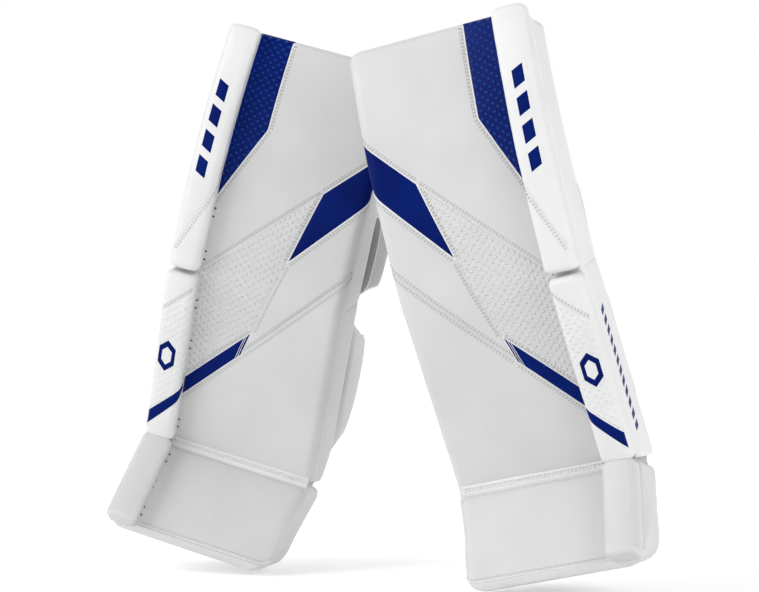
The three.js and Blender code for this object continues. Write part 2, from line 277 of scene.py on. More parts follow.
def inside(polygon, x, y):
    hit = False
    for (x0, y0), (x1, y1) in zip(polygon, polygon[1:] + polygon[:1]):
        if (y0 > y) != (y1 > y) and x < x0 + (y - y0) * (x1 - x0) / (y1 - y0):
            hit = not hit
    return hit


def segments(lines):
    return [(a, b) for line in lines for a, b in zip(line, line[1:])]


def distance(w, s, lines):
    """From each point to the nearest of the lines."""
    near = np.full(np.shape(w), 1e6)
    for (ax, ay), (bx, by) in segments(lines):
        dx, dy = bx - ax, by - ay
        t = np.clip(((w - ax) * dx + (s - ay) * dy) / (dx * dx + dy * dy), 0, 1)
        near = np.minimum(near, np.hypot(w - ax - t * dx, s - ay - t * dy))
    return near


def relief(near, crown=1.6, reach=20.0, groove=0.9, width=1.5):
    """How far leather stands out at a distance from its nearest seam: it is drawn in along the seam."""
    return crown * (1 - np.exp(-near / reach)) - groove * np.exp(-((near / width) ** 2))


def unevenness(w, s, size):
    """A slow rise and fall, as foam under leather has."""
    a = np.sin(w / 37.0 + 0.6) * np.sin(s / 53.0 + 1.3)
    b = np.sin(w / 19.0 + s / 31.0) * np.sin(s / 23.0 - w / 41.0)
    return size * (0.65 * a + 0.35 * b)


SEAM_CUTS = (-3.0, -1.3, 0.0, 1.3, 3.0)  # how far to each side of a seam the grid is cut
CUT_REACH = 8.0  # how far past a seam's ends its cuts may run


def cut_grid(w_lines, s_lines, seams, panels, prints=()):
    """A flat grid with edges along every seam and round every print. Gives points (w, s), faces, and the look
    of the print or panel that each face is in."""
    points = [(w, s, 0.0) for s in s_lines for w in w_lines]
    mesh = bpy.data.meshes.new("flat")
    mesh.from_pydata(points, [], grid_faces(len(s_lines), len(w_lines)))
    bm = bmesh.new()
    bm.from_mesh(mesh)
    cuts = [(a, b, SEAM_CUTS) for a, b in segments(seams)]
    cuts += [(a, b, (0.0,)) for _, shape in prints for a, b in segments([shape + shape[:1]])]
    for (ax, ay), (bx, by), shifts in cuts:
        length = math.hypot(bx - ax, by - ay)
        normal = Vector((ay - by, bx - ax, 0)) / length
        for shift in shifts:
            low = min(ax, bx) - CUT_REACH, min(ay, by) - CUT_REACH
            high = max(ax, bx) + CUT_REACH, max(ay, by) + CUT_REACH
            middles = [(f, f.calc_center_median()) for f in bm.faces]
            near = [f for f, c in middles if low[0] < c.x < high[0] and low[1] < c.y < high[1]]
            edges, corners = {e for f in near for e in f.edges}, {v for f in near for v in f.verts}
            geometry = [*near, *edges, *corners]
            start = Vector((ax, ay, 0)) + normal * shift
            bmesh.ops.bisect_plane(bm, geom=geometry, dist=0.05, plane_co=start, plane_no=normal)
    flat = np.array([v.co[:2] for v in bm.verts])
    bm.verts.index_update()
    faces = [[v.index for v in f.verts] for f in bm.faces]
    looks = []
    for f in bm.faces:
        centre = f.calc_center_median()
        looks.append(next((k for k, shape in [*prints, *panels] if inside(shape, centre.x, centre.y)), 0))
    bm.free()
    bpy.data.meshes.remove(mesh)
    return flat, faces, looks


# ---- Threads and piping along a surface ----
def tube(points, normals, radius, sides=8, closed=False):
    """A round tube along points. The normals keep it from twisting."""
    points, normals = np.asarray(points, float), np.asarray(normals, float)
    if closed:
        along = np.roll(points, -1, 0) - np.roll(points, 1, 0)
    else:
        along = np.gradient(points, axis=0)
    along = unit(along)
    side = unit(np.cross(along, normals))
    out = np.cross(side, along)
    angle = np.arange(sides) * 2 * math.pi / sides
    rings = (points[:, None] + radius * (np.cos(angle)[None, :, None] * side[:, None]
             + np.sin(angle)[None, :, None] * out[:, None]))
    count = len(points)
    faces = grid_faces(count, sides, loop_rows=closed, loop_columns=True, turned=True)
    if not closed:
        faces += [tuple(range(sides)), tuple(range(count * sides - 1, (count - 1) * sides - 1, -1))]
    return Shape(rings.reshape(-1, 3), faces)


def along_line(line, step):
    """Evenly spaced points on a line of (w, s) points, with the direction at each."""
    line = np.array(line, float)
    run = np.concatenate([[0], np.cumsum(np.linalg.norm(np.diff(line, axis=0), axis=1))])
    count = max(2, int(round(run[-1] / step)) + 1)
    t = np.linspace(0, run[-1], count)
    points = np.stack([np.interp(t, run, line[:, k]) for k in (0, 1)], -1)
    ahead = np.stack([np.interp(np.minimum(t + 0.5, run[-1]), run, line[:, k]) for k in (0, 1)], -1)
    behind = np.stack([np.interp(np.maximum(t - 0.5, 0), run, line[:, k]) for k in (0, 1)], -1)
    return points, unit(ahead - behind)


THREAD_SIDES = 5
THREAD_RINGS = ((-0.5, -0.25), (-0.28, 0.25), (0.28, 0.25), (0.5, -0.25))  # share of its length, height


def stitches(surface, line, shift, length=2.6, gap=2.7, radius=0.5):
    """A row of short threads beside a line. Each dips into the leather at both ends."""
    points, way = along_line(line, length + gap)
    left = np.stack([-way[:, 1], way[:, 0]], -1)
    points, way = points[1:-1] + shift * left[1:-1], way[1:-1]
    rings = []
    for share, lift in THREAD_RINGS:
        place = points + way * length * share
        where, normal = surface(place[:, 0], place[:, 1])
        rings.append(where + normal * lift)
    ahead, behind = points + way, points - way
    along = unit(surface(ahead[:, 0], ahead[:, 1])[0] - surface(behind[:, 0], behind[:, 1])[0])
    side = unit(np.cross(along, normal))
    angles = np.arange(THREAD_SIDES) * 2 * math.pi / THREAD_SIDES
    corners = [radius * (math.cos(a) * side + math.sin(a) * normal) for a in angles]
    grid = np.stack([np.stack([ring + c for c in corners], 1) for ring in rings], 1)
    size = len(rings) * THREAD_SIDES
    thread = grid_faces(len(rings), THREAD_SIDES, loop_columns=True, turned=True)
    thread += [tuple(range(THREAD_SIDES)), tuple(range(size - 1, size - 1 - THREAD_SIDES, -1))]
    faces = [tuple(i * size + k for k in face) for i in range(len(points)) for face in thread]
    return Shape(grid.reshape(-1, 3), faces)


def piping(surface, line, radius, lift=0.45, step=4.0):
    points, _ = along_line(line, step)
    where, normal = surface(points[:, 0], points[:, 1])
    return tube(where + normal * lift, normal, radius)


# ---- Materials ----
class Nodes:
    """A material's node tree, with the few joins that the materials here share."""

    def __init__(self, name, roughness, **sockets):
        self.material = bpy.data.materials.new(name)
        self.material.use_nodes = True
        self.tree = self.material.node_tree
        self.shader = self.tree.nodes["Principled BSDF"]
        self.shader.inputs["Roughness"].default_value = roughness
        for socket, value in sockets.items():
            self.shader.inputs[socket.replace("_", " ")].default_value = value

    def node(self, kind, **values):
        n = self.tree.nodes.new(kind)
        for key, value in values.items():
            if key in n.inputs:
                n.inputs[key].default_value = value
            else:
                setattr(n, key, value)
        return n

    def link(self, a, b):
        self.tree.links.new(a, b)

    def place(self, uv):
        if uv:
            return self.node("ShaderNodeUVMap", uv_map="along_pad").outputs["UV"]
        return self.node("ShaderNodeTexCoord").outputs["Object"]

    def math(self, operation, a, b=None, clamp=False):
        n = self.node("ShaderNodeMath", operation=operation, use_clamp=clamp)
        for socket, value in zip(n.inputs, (a, b)):
            if isinstance(value, bpy.types.NodeSocket):
                self.link(value, socket)
            elif value is not None:
                socket.default_value = value
        return n.outputs[0]

    def ramp(self, value, low, high, to_low=0.0, to_high=1.0):
        n = self.node("ShaderNodeMapRange", interpolation_type="SMOOTHSTEP")
        self.link(value, n.inputs["Value"])
        for key, number in (("From Min", low), ("From Max", high), ("To Min", to_low), ("To Max", to_high)):
            n.inputs[key].default_value = number
        return n.outputs["Result"]

    def mix(self, share, a, b):
        n = self.node("ShaderNodeMix", data_type="RGBA")
        self.link(share, n.inputs["Factor"])
        for socket, value in ((n.inputs[6], a), (n.inputs[7], b)):
            if isinstance(value, bpy.types.NodeSocket):
                self.link(value, socket)
            else:
                socket.default_value = (*value, 1.0)
        return n.outputs[2]

    def noise(self, place, scale, detail=2.0):
        n = self.node("ShaderNodeTexNoise", Scale=scale, Detail=detail)
        self.link(place, n.inputs["Vector"])
        return n.outputs["Fac"]

    def wave(self, place, scale, **values):
        n = self.node("ShaderNodeTexWave", Scale=scale, **values)
        self.link(place, n.inputs["Vector"])
        return n.outputs["Fac"]

    def cells(self, place, scale, **values):
        n = self.node("ShaderNodeTexVoronoi", Scale=scale, **values)
        self.link(place, n.inputs["Vector"])
        return n.outputs["Distance"]

    def bump(self, height, strength, distance, under=None):
        n = self.node("ShaderNodeBump", Strength=strength, Distance=distance)
        self.link(height, n.inputs["Height"])
        if under is not None:
            self.link(under, n.inputs["Normal"])
        return n.outputs["Normal"]

    def finish(self, colour, normal, roughness=None):
        self.link(colour, self.shader.inputs["Base Color"])
        self.link(normal, self.shader.inputs["Normal"])
        if roughness is not None:
            self.link(roughness, self.shader.inputs["Roughness"])
        return self.material


DOT_ACROSS, DOT_ALONG = 0.0132, 0.012  # spacing of the embossed dots


def leather(name, light, dark, uv=False, dots=None, roughness=0.42, gloss=0.3):
    """Synthetic leather: pebble grain, slow changes of tone, and embossed dots where asked for, coloured
    lighter on their tops as a painted highlight.
    """
    n = Nodes(name, roughness, Specular_IOR_Level=gloss)
    place = n.place(uv)
    grain = n.cells(place, 950.0)
    creases = n.noise(place, 380.0, 3.0)
    tone = n.noise(place, 9.0, 3.0)
    scuffs = n.ramp(n.noise(place, 55.0, 4.0), 0.6, 0.78)
    colour = n.mix(n.ramp(tone, 0.3, 0.7), dark, light)
    normal = n.bump(n.math("MULTIPLY_ADD", grain, 0.7), 0.16, 0.0004)
    normal = n.bump(creases, 0.1, 0.0005, normal)
    if dots:
        cross = n.node("ShaderNodeVectorMath", operation="DOT_PRODUCT")
        along = n.node("ShaderNodeVectorMath", operation="DOT_PRODUCT")
        lattice = n.node("ShaderNodeCombineXYZ")
        for k, (dot, sign) in enumerate(((cross, 1), (along, -1))):
            n.link(place, dot.inputs[0])
            dot.inputs[1].default_value = (1 / DOT_ACROSS, sign / DOT_ALONG, 0)
            n.link(dot.outputs["Value"], lattice.inputs[k])
        reach = n.cells(lattice.outputs[0], 1.0, voronoi_dimensions="2D", Randomness=0.0)
        dot_height_and_highlight = n.ramp(reach, 0.12, 0.34, 1.0, 0.0)
        # Painted highlight: the raised dots are coloured lighter than the leather round them.
        colour = n.mix(n.math("MULTIPLY", dot_height_and_highlight, dots["share"]), colour, dots["colour"])
        normal = n.bump(dot_height_and_highlight, dots["strength"], 0.0018, normal)
    rough = n.ramp(scuffs, 0.0, 1.0, roughness - 0.04, roughness + 0.1)
    return n.finish(colour, normal, rough)


def knit(name, light, dark, scale=420.0, roughness=0.9, strength=0.5, ripples=0.0):
    """A close fabric with a visible weave, and with wavy quilted ripples where asked for, whose hollows are
    coloured darker as painted shade.
    """
    n = Nodes(name, roughness, Sheen_Weight=0.25, Sheen_Roughness=0.6)
    place = n.place(False)
    across, along = [n.wave(place, scale, Distortion=1.5, Detail=1.0, bands_direction=axis) for axis in "XZ"]
    weave = n.math("MULTIPLY", across, along)
    tone = n.math("ADD", n.math("MULTIPLY", weave, 0.75), n.math("MULTIPLY", n.noise(place, 30.0, 4.0), 0.35))
    colour, normal = n.mix(n.ramp(tone, 0.1, 0.9), dark, light), n.bump(weave, strength, 0.0006)
    if ripples:
        wave = n.wave(place, 46.0, Distortion=2.6, Detail=1.0, bands_direction="DIAGONAL",
                      **{"Detail Scale": 0.6})
        hollow_shade = n.ramp(wave, 0.45, 0.05)
        # Painted shade: the ripples' hollows are coloured darker.
        colour = n.mix(n.math("MULTIPLY", hollow_shade, ripples), colour, dark)
        normal = n.bump(wave, 0.6, 0.0016, normal)
    return n.finish(colour, normal)


def webbing(name, light, dark):
    """Woven strap: ribs along it with a cross weave."""
    n = Nodes(name, 0.75, Sheen_Weight=0.2)
    place = n.place(False)
    ribs = n.wave(place, 260.0, Distortion=0.4, bands_direction="Z")
    weft = n.wave(place, 330.0, Distortion=0.6, bands_direction="X")
    weave = n.math("ADD", n.math("MULTIPLY", ribs, 0.6), n.math("MULTIPLY", weft, 0.4))
    return n.finish(n.mix(n.ramp(weave, 0.15, 0.85), dark, light), n.bump(weave, 0.5, 0.0007))


def plastic(name, colour, roughness=0.42):
    """Moulded plastic with a fine spark-eroded grain and rubbed patches."""
    n = Nodes(name, roughness)
    place = n.place(False)
    grain = n.noise(place, 2600.0, 2.0)
    rubbed = n.noise(place, 45.0, 3.0)
    lighter = tuple(c * 1.6 + 0.01 for c in colour)
    return n.finish(n.mix(n.ramp(rubbed, 0.55, 0.8), colour, lighter), n.bump(grain, 0.15, 0.0003),
                    n.ramp(rubbed, 0.3, 0.8, roughness + 0.08, roughness - 0.08))


WHITE = ((0.52, 0.52, 0.523), (0.49, 0.49, 0.495))
# Painted highlight: a lighter copy of the white leather, for the rolls and the outer side of the cover, where
# the light falls strongest.
PAINTED_HIGHLIGHT_WHITE = ((0.62, 0.62, 0.622), (0.59, 0.59, 0.594))
BLUE = ((0.0004, 0.0095, 0.115), (0.0002, 0.006, 0.085))
LOOK = {
    "white": leather("white_leather", *WHITE, uv=True),
    # Each dots colour is lighter than its leather: a painted highlight on the raised dots.
    "white_dots": leather("white_leather_embossed", *WHITE, uv=True,
                          dots={"share": 0.45, "colour": (0.7, 0.7, 0.7), "strength": 0.85}),
    "painted_highlight": leather("white_leather_painted_highlight", *PAINTED_HIGHLIGHT_WHITE, uv=True),
    "painted_highlight_dots": leather("white_leather_painted_highlight_embossed", *PAINTED_HIGHLIGHT_WHITE, uv=True,
                           dots={"share": 0.2, "colour": (0.76, 0.76, 0.76), "strength": 0.6}),
    "blue": leather("blue_leather", *BLUE, uv=True, roughness=0.4, gloss=0.04),
    "blue_dots": leather("blue_leather_embossed", *BLUE, uv=True, roughness=0.36, gloss=0.07,
                         dots={"share": 0.4, "colour": (0.008, 0.07, 0.34), "strength": 0.5}),
    # Painted shade: a slightly darker copy of the white leather, for the padded wings and tabs behind the pad,
    # which lie in shade.
    "white_painted_shade": leather("white_leather_painted_shade", (0.5, 0.5, 0.503), (0.45, 0.45, 0.455)),
    # Painted highlight: a lighter copy of the white leather, for the ridge of the crease band, which catches
    # the light.
    "welt_painted_highlight": leather("white_welt_painted_highlight", (0.6, 0.6, 0.602), (0.55, 0.55, 0.554)),
    "piping": leather("white_piping", (0.7, 0.7, 0.7), (0.64, 0.64, 0.64), roughness=0.4),
    # Painted shade: the thread is grey so that the stitches read as the shaded holes of a seam.
    "thread": knit("grey_thread_painted_hole_shade", (0.36, 0.36, 0.365), (0.26, 0.26, 0.265), scale=900.0),
    "cord": knit("white_cord", (0.72, 0.72, 0.72), (0.55, 0.55, 0.55), scale=900.0),
    "liner": knit("liner_knit", (0.36, 0.37, 0.39), (0.2, 0.205, 0.22)),
    "rear": knit("rear_nylon", (0.5, 0.5, 0.51), (0.34, 0.34, 0.35), scale=520.0, strength=0.35),
    "knee": knit("knee_fabric", (0.5, 0.5, 0.51), (0.26, 0.26, 0.27), scale=640.0, strength=0.3, ripples=0.6),
    # Painted shade: dark fabric for the shaded gap between the pad and the knee block.
    "shade_strip": knit("painted_shade_strip_fabric", (0.2, 0.2, 0.21), (0.12, 0.12, 0.13), scale=640.0, strength=0.3),
    "strap": webbing("white_webbing", (0.74, 0.74, 0.75), (0.5, 0.5, 0.51)),
    "black_strap": webbing("black_webbing", (0.03, 0.03, 0.032), (0.008, 0.008, 0.009)),
    "lace": webbing("black_lace", (0.02, 0.02, 0.022), (0.006, 0.006, 0.007)),
    "black": plastic("black_plastic", (0.012, 0.012, 0.013)),
}
PANELS = [LOOK[look] for look in ("white", "blue", "blue_dots", "white_dots", "painted_highlight", "painted_highlight_dots")]
PLAIN_WHITE, SMOOTH_BLUE, DOTTED_BLUE, DOTTED_WHITE, PAINTED_HIGHLIGHT_PLAIN, PAINTED_HIGHLIGHT_DOTS = range(6)


# ---- Cover of the shin and thigh rise ----
BACK_LIP = 24.0
EDGE_IN, EDGE_OUT, EDGE_BACK = 15.0, 8.0, 7.0
UPPER_CORNERS = [(-HALF + BACK_LIP, DEPTH), (-HALF, DEPTH), (-HALF, 0), (HALF, 0), (HALF, DEPTH),
                 (HALF - BACK_LIP, DEPTH)]
UPPER = Section(UPPER_CORNERS, [0, EDGE_BACK, EDGE_IN, EDGE_OUT, EDGE_BACK, 0], closed=False, zero=(0, 0))
INNER_PIPING = -HALF + EDGE_IN - EDGE_IN * math.pi / 2
SIDE_START = HALF - EDGE_OUT + EDGE_OUT * math.pi / 2
KNEE_CREASES = [
    [(UPPER.first, SHIN_FACE), (INNER_PIPING, SHIN_FACE)],
    [(SIDE_START, SHIN_FACE), (UPPER.last, SHIN_FACE)],
]
EDGE_SEAM = [(INNER_PIPING, 0.0), (INNER_PIPING, TOP - 6)]
TOP_ROUND, TOP_CORNER = 9.0, 14.0
SHIN_FALL = math.tan(SHIN_LEAN + (BOOT_LEAN - SHIN_LEAN) / 2 - ANKLE_WEDGE)


def depth_share(s):
    return (DEPTH - (DEPTH - TOP_DEPTH) * np.clip((s - SHIN_FACE) / THIGH_FACE, 0, 1)) / DEPTH


def heel_drop(s, d):
    """How far the bottom of the shin falls towards the back, fading out up the shin."""
    return SHIN_FALL * d * (1 - smooth((s - 1) / 110))


TUCK_ACROSS, TUCK_UP, TUCK_FROM, TUCK_SHARE = 75.0, 72.0, 14.0, 0.5


def heel_tuck(x, s, d):
    """Depth near the ankle, where the inner side is rounded off behind."""
    near_edge = smooth((-x - HALF + TUCK_ACROSS) / TUCK_ACROSS)
    near_heel = 1 - smooth((s + 6) / TUCK_UP)
    tucked = TUCK_FROM + (d - TUCK_FROM) * (1 - TUCK_SHARE * near_edge * near_heel)
    return np.where(d > TUCK_FROM, tucked, d)


def upper_surface(w, s):
    """Where the cover of the shin and thigh rise is at (w, s), and which way it faces."""
    w, s = np.asarray(w, float), np.asarray(s, float)
    x, d, nx, nd = UPPER.at(w)
    d = d * depth_share(s)
    rounding = np.clip((s - (TOP - TOP_ROUND)) / TOP_ROUND, 0, 1)
    inset = TOP_ROUND * (1 - np.sqrt(1 - rounding ** 2)) + 1.5 * np.clip(1 - s / 4.0, 0, 1) ** 2
    half_depth = DEPTH * depth_share(s) / 2
    past = np.clip((np.abs(x) - (HALF - TOP_CORNER)) / TOP_CORNER, 0, 1)
    drop = TOP_CORNER * (1 - np.sqrt(1 - past ** 2)) * smooth((s - TOP + 60) / 60)
    x, d = x * (1 - inset / HALF), half_depth + (d - half_depth) * (1 - inset / half_depth)
    out = relief(distance(w, s, FACE_SEAMS + KNEE_CREASES + [EDGE_SEAM])) + unevenness(w, s, 0.5)
    out = out * smooth((s - 1) / 9) * (1 - rounding)
    d = heel_tuck(x, s, d)
    point, normal = on_leg(x + nx * out, s - drop - heel_drop(s, d), d + nd * out, (nx, nd))
    return point, normal


def slanted(w, s, width, height, slant):
    """A slanted bar: four corners round its middle."""
    return [(w - width / 2, s - height / 2 - slant), (w + width / 2, s - height / 2 + slant),
            (w + width / 2, s + height / 2 + slant), (w - width / 2, s + height / 2 - slant)]


def grid_lines(low, high, step, extra=()):
    lines = list(np.linspace(low, high, int(round((high - low) / step)) + 1))
    return sorted(set(np.round(lines + list(extra), 3)))


def closed_ends(shape, flat, ends, look):
    """Adds a face over each end of a cover, the low end and the high end."""
    for end, turn in zip(ends, (1, -1)):
        rim = np.flatnonzero(np.abs(flat[:, 1] - end) < 0.02)
        rim = rim[np.argsort(flat[rim, 0], kind="stable")]
        shape.faces.append(tuple(rim[::turn].tolist()))
        shape.looks.append(look)
    return shape


def upper_cover():
    w_lines = grid_lines(UPPER.first, UPPER.last, 4.2, [INNER_PIPING + k for k in (-2, 0, 2)])
    s_lines = grid_lines(1.5, TOP - TOP_ROUND, 4.6, [SHIN_FACE + k for k in (-2.5, -1, 1, 2.5)])
    s_lines += [TOP - TOP_ROUND * (1 - math.sin(t)) for t in np.linspace(0, math.pi / 2, 7)[1:]]
    side_w, past = (SIDE_START - 10, UPPER.last + 5), 5
    outer_side = [(side_w[0], -past), (side_w[1], -past), (side_w[1], TOP + past), (side_w[0], TOP + past)]
    # The outer side panel takes the painted highlight white.
    panels = [(DOTTED_BLUE, TOP_STRIPE), (SMOOTH_BLUE, DIAMOND), (SMOOTH_BLUE, LOW_STRIPE),
              (DOTTED_WHITE, BAND), (PAINTED_HIGHLIGHT_PLAIN, outer_side)]
    dashes = [(SMOOTH_BLUE, slanted(SIDE_START + 20, s, 16, 9.5, 3)) for s in np.arange(46, 226, 15.5)]
    flat, faces, looks = cut_grid(w_lines, s_lines, FACE_SEAMS, panels, dashes)
    points, _ = upper_surface(flat[:, 0], flat[:, 1])
    return closed_ends(Shape(points, faces, looks, flat * MM), flat, (s_lines[0], TOP), PLAIN_WHITE)


def rear_lining():
    """The fabric that closes the pad behind, tucked under the lips of the cover."""
    xs = np.linspace(-HALF + 9, HALF - 9, 45)
    ss = np.linspace(3, TOP - 9, 120)
    x, s = np.meshgrid(xs, ss)
    x, s = x.ravel(), s.ravel()
    d = heel_tuck(x, s, DEPTH * depth_share(s) - 0.9 + 1.2 * np.cos(x / HALF * math.pi / 2))
    crease = np.exp(-(((s - SHIN_FACE) / 4.0) ** 2))
    point, _ = on_leg(x, s - heel_drop(s, d), d - 3.0 * crease)
    return Shape(point, grid_faces(len(ss), len(xs), turned=True))


# ---- Rolls ----
ROLL = Section([(ROLL_IN, 1.5), (ROLL_IN - 4, -ROLL_HEIGHT), (ROLL_OUT, -ROLL_HEIGHT), (ROLL_OUT, 1.5)],
               [2.0, 9.0, 11.0, 2.0], closed=True, zero=((ROLL_IN + ROLL_OUT) / 2, -ROLL_HEIGHT))
ROLL_MID = (ROLL_IN + ROLL_OUT) / 2  # add to the section's w to get x on the front of the roll
ROLL_EDGE = ROLL_OUT - ROLL_MID - 2.0  # w of the seam along the outer front edge
ROLL_END = 7.0  # how far the ends are rounded over
HEXAGON = ((-1, -0.5), (0, -1), (1, -0.5), (1, 0.5), (0, 1), (-1, 0.5))


def hexagon(w, s, half_width, half_height):
    return [(w + half_width * a, s + half_height * b) for a, b in HEXAGON]


def roll_w(*points):
    return [(x - ROLL_MID, s) for x, s in points]


THIGH_ROLL_SEAMS = [roll_w((ROLL_IN - 14, 440), (ROLL_IN, 414), (ROLL_OUT - 3, 318))]
SHIN_ROLL_SEAMS = [
    roll_w((ROLL_IN - 6, 268), (ROLL_IN, 261), (ROLL_OUT - 3, 220)),
    roll_w((ROLL_IN - 18, 108), (ROLL_IN, 94), (ROLL_OUT - 3, 51)),
    roll_w((ROLL_IN - 18, 86), (ROLL_IN, 72), (ROLL_OUT - 3, 25)),
]
ROLL_STRIPE = roll_w((ROLL_IN - 19, 109), (ROLL_IN, 94), (ROLL_OUT - 2, 50),
                     (ROLL_OUT - 2, 24), (ROLL_IN, 72), (ROLL_IN - 19, 87))
ROLL_BAND = roll_w((ROLL_IN - 19, 277), (ROLL_IN, 261), (ROLL_OUT - 2, 219),
                   (ROLL_OUT - 2, 50), (ROLL_IN, 94), (ROLL_IN - 19, 109))


def roll_surface(low, high, seams, base=on_leg):
    lines = [*seams, [(ROLL_EDGE, low + 10), (ROLL_EDGE, high - 10)]]

    def surface(w, s):
        w, s = np.asarray(w, float), np.asarray(s, float)
        x, d, nx, nd = ROLL.at(w)
        t = np.clip(np.maximum(low + ROLL_END - s, s - high + ROLL_END) / ROLL_END, 0, 1)
        inset = ROLL_END * (1 - np.sqrt(1 - t ** 2))
        crown = 1.3 * np.exp(-((x - ROLL_MID) / 14) ** 2) * (nd < -0.5)
        out = relief(distance(w, s, lines), crown=1.0, reach=9.0, groove=0.9, width=1.5) * (1 - t)
        out = (out + unevenness(w * 2 + low, s * 1.5, 0.45) + crown) * (d < 0)
        x = ROLL_MID + (x - ROLL_MID) * (1 - inset / (ROLL_OUT - ROLL_MID))
        d = np.where(d < 0, d * (1 - inset / ROLL_HEIGHT), d)
        return base(x + nx * out, s, d + nd * out, (nx, nd))
    return surface


# A roll's plain leather is the painted highlight white unless asked otherwise.
def roll(low, high, seams, panels, prints=(), base=on_leg, plain=PAINTED_HIGHLIGHT_PLAIN):
    """A length of roll, and its surface for what is sewn on it."""
    surface = roll_surface(low, high, seams, base)
    ends = [ROLL_END * (1 - math.sin(t)) for t in np.linspace(0, math.pi / 2, 6)]
    s_lines = [low + e for e in ends[::-1]] + grid_lines(low + ROLL_END, high - ROLL_END, 4.0)[1:-1]
    s_lines += [high - e for e in ends]
    w_lines = list(np.linspace(ROLL.first, ROLL.last, 46))
    flat, faces, looks = cut_grid(w_lines, s_lines, seams, panels, prints)
    looks = [plain if look == PLAIN_WHITE else look for look in looks]
    points, _ = surface(flat[:, 0], flat[:, 1])
    shape = Shape(points, faces, looks, (flat + [ROLL_MID, 0]) * MM)
    return closed_ends(shape, flat, (low, high), plain), surface


# ---- Boot ----
TOE_DROP = CREASE_Z - TOE_LIP
TOE_REACH = TOE_DROP * math.tan(BOOT_LEAN)
SOLE = 1.0 - CREASE_Z  # the leather's lowest points stay a little above the CAD model's floor
BOOT = Section([(-TOE_REACH, -TOE_DROP), (-TOE_REACH - 2, SOLE), (SOLE_HEEL, SOLE),
                (DEPTH - 2, -1.5 - DEPTH * SHELF), (0, -1.0)],
               [5.0, 8.0, 10.0, 6.0, 4.0], closed=True, zero=(0, -1.0))
BOOT_CENTRE = np.array([0.0, -CREASE_Z * 0.5])
BOOT_IN, BOOT_OUT, BOOT_CAP = 15.0, 10.0, 30.0
TOE_EDGE = -TOE_DROP / math.cos(BOOT_LEAN)
TOE_SEAM, CREASE_SEAM = -TOE_EDGE - 5.0, 9.0  # measured down the face from the crease
BOOT_SEAMS = [[(-148, q), (145, q)] for q in (TOE_SEAM, CREASE_SEAM)]


def boot_across(c):
    """For a column c: x, how far the outline is drawn in, the share of the way to the middle of the side, and
    how far the surface has turned from the face to the side."""
    inner, outer = -HALF + BOOT_IN, HALF - BOOT_OUT
    arc_in, arc_out = BOOT_IN * math.pi / 2, BOOT_OUT * math.pi / 2
    a = np.clip((inner - c) / BOOT_IN, 0, math.pi / 2)
    b = np.clip((c - outer) / BOOT_OUT, 0, math.pi / 2)
    x = np.clip(c, inner, outer) - BOOT_IN * np.sin(a) + BOOT_OUT * np.sin(b)
    drawn = BOOT_IN * (1 - np.cos(a)) + BOOT_OUT * (1 - np.cos(b))
    share = np.clip((inner - arc_in - c) / BOOT_CAP, 0, 1) + np.clip((c - outer - arc_out) / BOOT_CAP, 0, 1)
    tilt = a - b
    return x, drawn, share, tilt


def boot_surface(c, q):
    c, q = np.asarray(c, float), np.asarray(q, float)
    y, z, ny, nz = BOOT.at(q)
    x, drawn, share, tilt = boot_across(c)
    out = relief(distance(c, q, BOOT_SEAMS), crown=2.4, reach=22, groove=1.5, width=1.8)
    out = (out + unevenness(c, q, 0.5)) * np.cos(tilt) * (z > SOLE + 3) * (1 - share)
    y, z = y + ny * out, z + nz * out
    reach = np.hypot(y - BOOT_CENTRE[0], z - BOOT_CENTRE[1])
    y = y - (y - BOOT_CENTRE[0]) * drawn / reach
    z = z - (z - BOOT_CENTRE[1]) * drawn / reach
    y, z = y + (BOOT_CENTRE[0] - y) * share, z + (BOOT_CENTRE[1] - z) * share
    bulge = 2.0 * np.sin(share * math.pi / 2)
    x = x + np.sign(x) * bulge * (share > 0)
    low = np.clip((SOLE + 34 - z) / 34, 0, 1)
    x = x * (1 - 0.15 * (1 - np.sqrt(1 - low ** 2)))
    x = np.where(x < 0, x * (1 + TOE_TAPER / HALF * z / CREASE_Z), x)
    point = np.stack([x, y, z], -1)
    side = -np.sin(tilt)
    normal = np.stack([side, ny * np.cos(tilt), nz * np.cos(tilt)], -1)
    return point, normal


def boot_cover():
    inner, outer = -HALF + BOOT_IN - BOOT_IN * math.pi / 2, HALF - BOOT_OUT + BOOT_OUT * math.pi / 2
    caps = [BOOT_CAP * t for t in (0.08, 0.2, 0.4, 0.6, 0.8, 0.97)]
    c_lines = [inner - c for c in caps[::-1]] + grid_lines(inner, outer, 4.2) + [outer + c for c in caps]
    q_lines = grid_lines(BOOT.first, BOOT.last, 3.2, (TOE_SEAM, TOE_SEAM - 2, TOE_SEAM + 2, 7, 9, 11))
    rows, columns = len(q_lines), len(c_lines)
    q, c = np.meshgrid(q_lines, c_lines, indexing="ij")
    points, _ = boot_surface(c.ravel(), q.ravel())
    faces = grid_faces(rows, columns, loop_rows=True, turned=True)
    faces.append(tuple(r * columns for r in range(rows))[::-1])
    faces.append(tuple(r * columns + columns - 1 for r in range(rows)))
    return Shape(points, faces, uv=np.stack([c.ravel(), q.ravel()], -1) * MM)


# ---- Padded pieces behind the pad, blown up as cloth ----
def back_of(lean):
    """Straight back from a face with this lean."""
    return np.array([0, math.cos(lean), math.sin(lean)])


def up_of(lean):
    """Straight up along a face with this lean."""
    return np.array([0, -math.sin(lean), math.cos(lean)])


def cad_points(node):
    """A node of the left pad in the pad's own frame, in millimetres."""
    source = frame["nodes"][f"left_{node}"]
    points = np.array([source.matrix_world @ v.co for v in source.data.vertices])
    return (points - PAD["left"][:3, 3]) @ np.linalg.inv(PAD["left"][:3, :3]).T


def evaluated(piece):
    return bpy.data.meshes.new_from_object(piece.evaluated_get(bpy.context.evaluated_depsgraph_get()))


